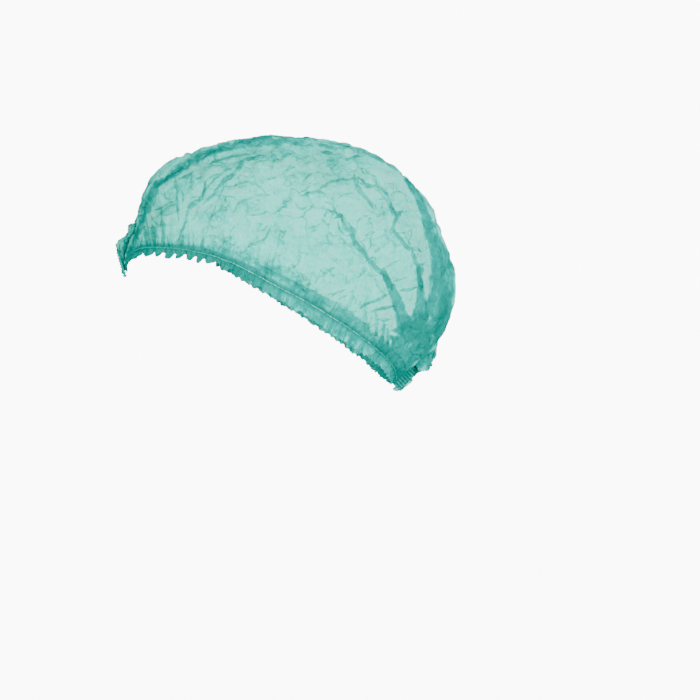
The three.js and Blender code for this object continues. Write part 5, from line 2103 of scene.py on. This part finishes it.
@dataclass
class Weld:
    """Ribbed bar where the pleats of one end are melted together.

    Its length runs along one axis, its width along another, and its thickness is the third.
    """

    name: str
    node: str
    origin: Vector
    along: Vector
    across: Vector
    length: float
    width: float
    thick: float
    cut_edge: float
    jog: float = 0.0
    rib_pitch: float = 1.9
    rib_radius: float = 0.70
    seed: int = 3
    steps: int = 76
    rings: int = 34
    rib_spots: int = 40

    def _point(self, s: np.ndarray, w: np.ndarray, h: np.ndarray) -> np.ndarray:
        """Points in metres from places along, across and through the bar in mm."""
        through = self.across.cross(self.along).normalized()
        jog = -self.jog * smooth(0.3, 1.7, s)
        axes = [np.array(axis) for axis in (self.along, self.across, through)]
        parts = (s, w + jog, h)
        total = np.array(self.origin) + sum(part[..., None] * axis for part, axis in zip(parts, axes))
        return total * MM

    def _half(self, s: np.ndarray, w: np.ndarray) -> np.ndarray:
        """Half thickness of the bar, rounded at its edges and rough where it melted."""
        end = 1.0 - np.clip(np.abs(s) / (0.5 * self.length), 0.0, 1.0) ** 9
        root = smooth(-0.4, 0.7, w)
        lip = 1.0 - 0.68 * smooth(self.width - 0.5, self.width + 0.7, w)
        spot = spots_at(s, w, 0.0)
        rough = 0.16 * value_noise(spot, 1.6, self.seed) + 0.10 * value_noise(spot, 0.7, self.seed + 1)
        core = 0.5 * self.thick - 0.32 + rough
        return np.maximum(core * (0.35 + 0.65 * end) * (0.55 + 0.45 * root) * lip, 0.12)

    def build(
        self, tree: GrownPiece, finish: bpy.types.Material, rib_finish: bpy.types.Material
    ) -> bpy.types.Object:
        """Makes the melted bar and grows its ribs.

        Args:
            tree: The tree that grows ribs.
            finish: The bar's finish.
            rib_finish: The finish of the ribs.

        Returns:
            The new object.
        """
        ns, nw = self.steps, self.rings
        s = np.linspace(-0.5 * self.length, 0.5 * self.length, ns)
        w = np.linspace(0.0, 1.0, nw)
        spot = spots_at(s, 0.0, 0.0)
        uneven = 0.35 * value_noise(spot, 3.0, 5) + 0.2 * value_noise(spot, 1.0, 6)
        far = self.width + self.cut_edge * (0.8 + uneven)
        grid_s = np.repeat(s[None, :], nw, axis=0)
        grid_w = w[:, None] * far[None, :]
        half = self._half(grid_s, grid_w)
        top, under = self._point(grid_s, grid_w, half), self._point(grid_s, grid_w, -half)
        vertices = np.concatenate([top.reshape(-1, 3), under.reshape(-1, 3)])
        faces = []
        count = ns * nw
        for j in range(nw - 1):
            for i in range(ns - 1):
                a = j * ns + i
                faces.append((a, a + 1, a + ns + 1, a + ns))
                faces.append((count + a, count + a + ns, count + a + ns + 1, count + a + 1))
        rim = list(range(ns)) + [j * ns + ns - 1 for j in range(1, nw)]
        rim += [(nw - 1) * ns + i for i in range(ns - 2, -1, -1)]
        rim += [j * ns for j in range(nw - 2, 0, -1)]
        for a, b in zip(rim, rim[1:] + rim[:1]):
            faces.append((a, count + a, count + b, b))
        bar = mesh_object(self.name, vertices, faces)
        turn_outwards(bar)
        bar.data.materials.append(finish)
        reach = 0.5 * self.length - 0.9
        run = np.linspace(-reach, reach, self.rib_spots)
        lines = []
        for side in (-1.0, 1.0):
            level = side * (0.5 * self.thick - 0.60)
            lines.append(self._point(run, np.full_like(run, 0.35), np.full_like(run, level)))
        zero = np.zeros(1)
        rib = self._point(zero, np.array([self.width - 0.5]), zero) - self._point(zero, zero, zero)
        values = {
            "Rib Pitch": self.rib_pitch * MM,
            "Rib Radius": self.rib_radius * MM,
            "Rib Vector": tuple(map(float, rib[0])),
            "Seed": self.seed,
            "Finish": rib_finish,
        }
        ribs = tree.grow(self.name + "_ribs", line_mesh(self.name + "_ribs", lines), values)
        for piece in (bar, ribs):
            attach(piece, "root")
            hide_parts(self.node)
        return bar


def rib_tree() -> GrownPiece:
    """The tree that sets rounded ribs across a weld.

    Returns:
        The tree, ready to grow.
    """
    inputs = (
        ("Rib Pitch", "NodeSocketFloat"),
        ("Rib Radius", "NodeSocketFloat"),
        ("Rib Vector", "NodeSocketVector"),
        ("Seed", "NodeSocketInt"),
        ("Finish", "NodeSocketMaterial"),
    )
    g = GrownPiece("weld_ribs", inputs)
    s = g.source
    curve = g.node("GeometryNodeMeshToCurve", {"Mesh": s["Geometry"]}).outputs[0]
    spots = g.node("GeometryNodeCurveToPoints", {"Curve": curve, "Length": s["Rib Pitch"]}, mode="LENGTH")
    line = g.node("GeometryNodeCurvePrimitiveLine", {"End": s["Rib Vector"]}).outputs[0]
    parts = g.node("GeometryNodeResampleCurve", {"Curve": line, "Count": 9}).outputs[0]
    rib = g.sweep(parts, g.circle(8, s["Rib Radius"]), True)
    size = g.between((0.85, 0.94, 0.94), (1.1, 1.04, 1.04))
    ribs = g.set_out({"Points": spots.outputs["Points"], "Instance": rib, "Scale": size})
    g.finish([g.finished(ribs, "Finish")])
    return g


@dataclass(frozen=True)
class ThreadFinish:
    """Twisted yarn, in one colour with paler plies."""

    name: str
    dark: tuple[float, float, float, float]
    pale: tuple[float, float, float, float]
    front: tuple[float, float, float, float]

    def material(self) -> bpy.types.Material:
        """Builds the material.

        Returns:
            The finished material.
        """
        material, t, body = new_material(self.name)
        place = t.add("ShaderNodeTexCoord").outputs["Object"]
        inputs = {"Scale": 420.0, "Distortion": 1.5, "Detail": 1.0, "Vector": place}
        plies = t.fed("ShaderNodeTexWave", inputs, wave_type="BANDS", bands_direction="DIAGONAL")
        fuzz = t.noise(t.scaled(place, 2400.0), 3.0)
        dashes = t.remap(t.noise(t.scaled(place, 260.0), 1.0), 0.40, 0.58)
        share = t.math("MULTIPLY_ADD", fuzz, 0.7, t.math("MULTIPLY", plies.outputs["Fac"], 0.5))
        share = t.math("MULTIPLY", share, dashes)
        parts = t.fed("ShaderNodeSeparateXYZ", {"Vector": place})
        bare = t.remap(parts.outputs[1], -0.062, -0.012)
        hidden = t.remap(parts.outputs[1], 0.074, 0.058)
        bare = t.math("MULTIPLY", bare, hidden)
        t.link(t.mix(bare, self.front, t.mix(share, self.dark, self.pale)), body.inputs["Base Color"])
        t.link(t.remap(fuzz, 0.3, 0.7, 0.65, 0.9), body.inputs["Roughness"])
        body.inputs["Specular IOR Level"].default_value = 0.05
        t.link(t.bump(t.math("MULTIPLY", share, 0.00012), 0.5), body.inputs["Normal"])
        return material


@dataclass(frozen=True)
class WeldFinish:
    """Melted and pressed nonwoven: dark, dense and slightly glossy on its ribs."""

    name: str
    deep: tuple[float, float, float, float]
    face: tuple[float, float, float, float]
    scuff: tuple[float, float, float, float]

    def material(self) -> bpy.types.Material:
        """Builds the material.

        Returns:
            The finished material.
        """
        material, t, body = new_material(self.name)
        place = t.add("ShaderNodeTexCoord").outputs["Object"]
        melt = t.noise(t.scaled(place, 420.0), 4.0, 0.4)
        grain = t.noise(t.scaled(place, 1900.0), 3.0)
        cells = t.fed("ShaderNodeTexVoronoi", {"Scale": 900.0, "Vector": place})
        base = t.mix(t.remap(melt, 0.36, 0.66), self.deep, self.face)
        worn = t.math("MULTIPLY", t.remap(grain, 0.55, 0.75), t.remap(melt, 0.45, 0.70))
        t.link(t.mix(worn, base, self.scuff), body.inputs["Base Color"])
        t.link(t.remap(grain, 0.3, 0.7, 0.38, 0.62), body.inputs["Roughness"])
        body.inputs["Specular IOR Level"].default_value = 0.03
        relief = t.math("MULTIPLY_ADD", melt, 0.0006, t.math("MULTIPLY", cells.outputs["Distance"], 0.00012))
        t.link(t.bump(relief, 0.6), body.inputs["Normal"])
        return material


WELD_FINISHES = (
    WeldFinish("melted_weld", (0.0, 0.085, 0.066, 1.0), (0.0, 0.14, 0.115, 1.0), (0.0, 0.22, 0.18, 1.0)),
    WeldFinish("weld_ridges", (0.0, 0.180, 0.140, 1.0), (0.0, 0.27, 0.222, 1.0), (0.0, 0.33, 0.28, 1.0)),
    # The forehead weld's finish is a paler copy of the same melted weld: painted light that offsets the shade
    # where the weld meets the crown.
    WeldFinish("forehead_melt_painted_light", (0.0, 0.34, 0.28, 1.0), (0.0, 0.44, 0.36, 1.0), (0.0, 0.54, 0.45, 1.0)),
)

THREAD_FINISHES = (
    ThreadFinish("pale_elastic", (0.0, 0.40, 0.34, 1.0), (0.30, 0.88, 0.78, 1.0), (0.0, 0.38, 0.31, 1.0)),
    ThreadFinish("overlock_yarn", (0.0, 0.22, 0.185, 1.0), (0.0, 0.36, 0.31, 1.0), (0.0, 0.24, 0.20, 1.0)),
)

FRONT_FAN = PleatFan(
    name="forehead_pleat_ends",
    outline=(
        (-89.6, 41.4), (-92.5, 46.6), (-94.4, 50.3), (-93.5, 53.0), (-91.6, 54.7), (-90.3, 55.9),
        (-88.0, 56.9), (-86.3, 58.8), (-86.2, 61.4), (-85.7, 64.0), (-83.7, 65.2),
    ),
    root=(
        (-87.4, 42.0), (-86.5, 46.5), (-85.5, 50.0), (-83.5, 53.5), (-81.0, 57.0), (-78.5, 61.0),
        (-77.0, 65.0),
    ),
    leaves=9,
    spread=7.0,
    puff=0.8,
    dense=2.8,
    seed=301,
    edge_layers=(3.2, 2.6, 1.2, 1.1, 1.3, 1.2, 1.4, 1.8),
)

FOREHEAD_TAIL = PleatFan(
    name="forehead_pleat_tail",
    outline=(
        (-93.5, 48.7), (-92.2, 45.4), (-90.7, 42.5), (-90.2, 40.5), (-90.1, 37.0), (-89.9, 33.2),
        (-88.6, 32.7), (-87.3, 34.4), (-86.6, 37.3), (-85.4, 39.8), (-83.4, 41.7), (-79.8, 42.7),
    ),
    root=(
        (-92.2, 48.3), (-90.9, 46.7), (-89.0, 46.0), (-86.3, 45.0), (-83.7, 44.4), (-79.8, 44.0),
    ),
    leaves=5,
    spread=1.2,
    puff=0.3,
    dense=2.6,
    seed=371,
    edge_layers=(2.8, 3.2, 3.2, 2.8),
)

BACK_FAN = PleatFan(
    name="nape_pleat_ends",
    outline=(
        (121.8, -4.8), (115.9, -10.8), (117.2, -13.6), (116.9, -17.9), (115.0, -22.4), (113.2, -27.4),
        (113.6, -29.6), (110.8, -31.6), (106.4, -34.2), (103.6, -32.6),
    ),
    root=(
        (112.0, -2.0), (108.0, -8.0), (106.0, -13.0), (104.0, -18.0), (101.8, -22.5), (100.0, -26.5),
    ),
    leaves=9,
    spread=6.5,
    puff=0.9,
    dense=5.0,
    seed=331,
    edge_layers=(3.6, 3.6, 2.6, 0.9, 0.85, 1.2, 3.8, 4.2, 3.0, 1.0, 0.85, 1.2),
)

WELD_TAIL = PleatFan(
    name="nape_weld_tail",
    outline=(
        (100.2, -35.4), (99.6, -37.4), (98.6, -40.6), (95.6, -42.8), (92.6, -44.6), (89.4, -45.4),
        (86.8, -44.6),
    ),
    root=(
        (99.2, -31.6), (97.6, -33.4), (95.4, -35.4), (93.0, -37.8), (90.6, -40.0), (88.4, -42.2),
        (87.2, -43.0),
    ),
    leaves=4,
    spread=0.9,
    puff=0.25,
    dense=3.0,
    seed=351,
    edge_layers=(2.6, 1.6, 0.8, 0.75, 0.75, 0.8),
)


def nape_weld(form: CapForm) -> Weld:
    """The weld at the nape: a fin in the middle plane, below and behind the end of the crown.

    Args:
        form: The cap's form.

    Returns:
        The weld, not yet built.
    """
    rim, top = form.surface(np.ones(1), np.ones(1))[0], form.surface(np.zeros(1), np.ones(1))[0]
    rim[0] = 0.0
    along = Vector(top - rim).normalized()
    across = Vector((0.0, along.z, -along.y))
    origin = Vector(0.5 * (rim + top)) - across * 1.1 - along * 0.1
    return Weld("nape_weld", "weld_back", origin, along, across, 20.0, 7.6, 3.2, 2.0, jog=0.9, seed=13)


def forehead_weld(form: CapForm) -> Weld:
    """The weld at the forehead: the same bar, folded flat against the front of the crown.

    Args:
        form: The cap's form.

    Returns:
        The weld, not yet built.
    """
    rim, top = form.surface(np.ones(1), np.zeros(1))[0], form.surface(np.zeros(1), np.zeros(1))[0]
    rim[0] = 0.0
    along = Vector(top - rim).normalized()
    out = Vector((0.0, -along.z, along.y))
    origin = Vector(0.5 * (rim + top)) + out * 1.95 - along
    origin.x = 2.4
    across = Vector((-1.0, 0.0, 0.0))
    return Weld("forehead_weld", "weld_front", origin, along, across, 17.0, 5.4, 2.2, 1.6, seed=23)


@dataclass
class Studio:
    """Pale sweep, soft lights and the photograph's camera."""

    azimuth: float = 82.0
    elevation: float = 4.8
    distance: float = 1.9
    pixels_per_metre: float = 1550.0
    frame: float = 700.0
    origin_pixel: tuple[float, float] = (260.5, 323.5)
    sensor: float = 36.0
    floor: float = -0.32
    cove: float = 0.8
    glow: float = 9.0
    aim: tuple[float, float, float] = (0.0, 0.0, 0.03)

    def build(self) -> None:
        """Makes the sweep, the world, the lights and the camera."""
        self._sweep()
        self._world()
        self._lights()
        self._camera()

    def _sweep(self) -> None:
        """Floor that curves up into a wall behind the cap."""
        profile = [(-3.0, self.floor), (1.0, self.floor)]
        for k in range(13):
            a = math.radians(90.0 * k / 12)
            height = self.floor + self.cove - self.cove * math.cos(a)
            profile.append((1.0 + self.cove * math.sin(a), height))
        profile.append((1.0 + self.cove, 3.0))
        a = math.radians(self.azimuth)
        away = Vector((-math.sin(a), math.cos(a), 0.0))
        side = Vector((math.cos(a), math.sin(a), 0.0))
        points = []
        for w in (-4.0, 4.0):
            points += [tuple(away * d + side * w + Vector((0.0, 0.0, z))) for d, z in profile]
        n = len(profile)
        faces = [(k, n + k, n + k + 1, k + 1) for k in range(n - 1)]
        mesh = bpy.data.meshes.new("studio_sweep")
        mesh.from_pydata(points, [], faces)
        mesh.polygons.foreach_set("use_smooth", [True] * len(faces))
        material, t, body = new_material("sweep_paper")
        body.inputs["Base Color"].default_value = (0.93, 0.93, 0.93, 1.0)
        body.inputs["Roughness"].default_value = 0.95
        body.inputs["Emission Color"].default_value = (1.0, 1.0, 1.0, 1.0)
        seen = t.add("ShaderNodeLightPath").outputs["Is Camera Ray"]
        t.link(t.math("MULTIPLY", seen, self.glow), body.inputs["Emission Strength"])
        mesh.materials.append(material)
        sweep = bpy.data.objects.new("studio_sweep", mesh)
        bpy.context.collection.objects.link(sweep)

    def _world(self) -> None:
        """Even white light from all round."""
        world = bpy.data.worlds.new("studio_world")
        world.use_nodes = True
        back = world.node_tree.nodes["Background"]
        back.inputs["Color"].default_value = (1.0, 1.0, 1.0, 1.0)
        back.inputs["Strength"].default_value = 0.62
        bpy.context.scene.world = world

    def _lights(self) -> None:
        """Large soft lamps aimed at the cap: a key from high in front, one from the nape side, one from low
        down, a fill, and one from behind.
        """
        spots = (
            ("key_light", (2.2, 0.5, 0.95), 1.2, 80.0, (1.0, 1.0, 1.0)),
            ("nape_light", (1.3, 2.0, 0.1), 1.2, 13.0, (0.9, 1.0, 1.0)),
            ("floor_light", (1.9, 0.7, -0.28), 1.0, 10.0, (0.96, 1.0, 1.0)),
            ("fill_light", (1.0, -1.9, 0.4), 1.5, 24.0, (1.0, 0.95, 0.86)),
            ("back_light", (-1.5, 1.2, 0.9), 1.2, 8.0, (1.0, 1.0, 1.0)),
        )
        for name, place, size, power, tint in spots:
            data = bpy.data.lights.new(name, "AREA")
            data.shape = "DISK"
            data.size = size
            data.energy = power
            data.color = tint
            lamp = bpy.data.objects.new(name, data)
            lamp.location = place
            aim = Vector(self.aim) - Vector(place)
            lamp.rotation_euler = aim.to_track_quat("-Z", "Y").to_euler()
            bpy.context.collection.objects.link(lamp)

    def _camera(self) -> None:
        """Camera at the photograph's angle, with the cap where the photograph has it."""
        a, e = math.radians(self.azimuth), math.radians(self.elevation)
        back = Vector((math.sin(a) * math.cos(e), -math.cos(a) * math.cos(e), math.sin(e)))
        data = bpy.data.cameras.new("camera")
        data.sensor_width = self.sensor
        data.lens = self.sensor * self.pixels_per_metre * self.distance / self.frame
        data.shift_x = (0.5 * self.frame - self.origin_pixel[0]) / self.frame
        data.shift_y = (self.origin_pixel[1] - 0.5 * self.frame) / self.frame
        data.clip_end = 20.0
        camera = bpy.data.objects.new("camera", data)
        camera.location = back * self.distance
        camera.rotation_euler = (-back).to_track_quat("-Z", "Y").to_euler()
        bpy.context.collection.objects.link(camera)
        bpy.context.scene.camera = camera


def main() -> None:
    """Builds the studio and every piece of the cap in order."""
    logging.basicConfig(level=logging.INFO)
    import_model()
    Studio().build()
    form = CapForm()
    view = SideView()
    cloth_finish = NonwovenFinish().material(crease_group(), fibre_group(), gather_group())
    bar_melt, ridges, forehead_melt_painted_light = (finish.material() for finish in WELD_FINISHES)
    thread_material, loop_material = (finish.material() for finish in THREAD_FINISHES)
    crown = Crown(form, view)
    cloth = crown.build()
    t = form.stations(crown.rows, crown.top_share)
    pieces = []
    for fan, node in (
        (FRONT_FAN, "crown"),
        (FOREHEAD_TAIL, "weld_front"),
        (BACK_FAN, "crown"),
        (WELD_TAIL, "weld_back"),
    ):
        piece = fan.build()
        fan.dress(piece, cloth_finish, node)
        pieces.append(piece)
    for side in Side:
        frill = HemFrill(form, side)
        creases = PressedCreases(view, side)
        for maker, piece in (
            (frill, frill.build(crown.waist[side], t)),
            (creases, creases.build(cloth, CREASE_LINES)),
        ):
            maker.dress(piece, cloth_finish)
            pieces.append(piece)
    crown.dress(cloth, cloth_finish)
    crown.declare(cloth, pieces)
    for side in Side:
        band = ElasticBand(form, side)
        band.build(band.tree(), crown.waist[side], t, thread_material, loop_material)
    ribs = rib_tree()
    nape_weld(form).build(ribs, bar_melt, ridges)
    forehead_weld(form).build(ribs, forehead_melt_painted_light, ridges)
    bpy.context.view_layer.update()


if __name__ == "__main__":
    main()
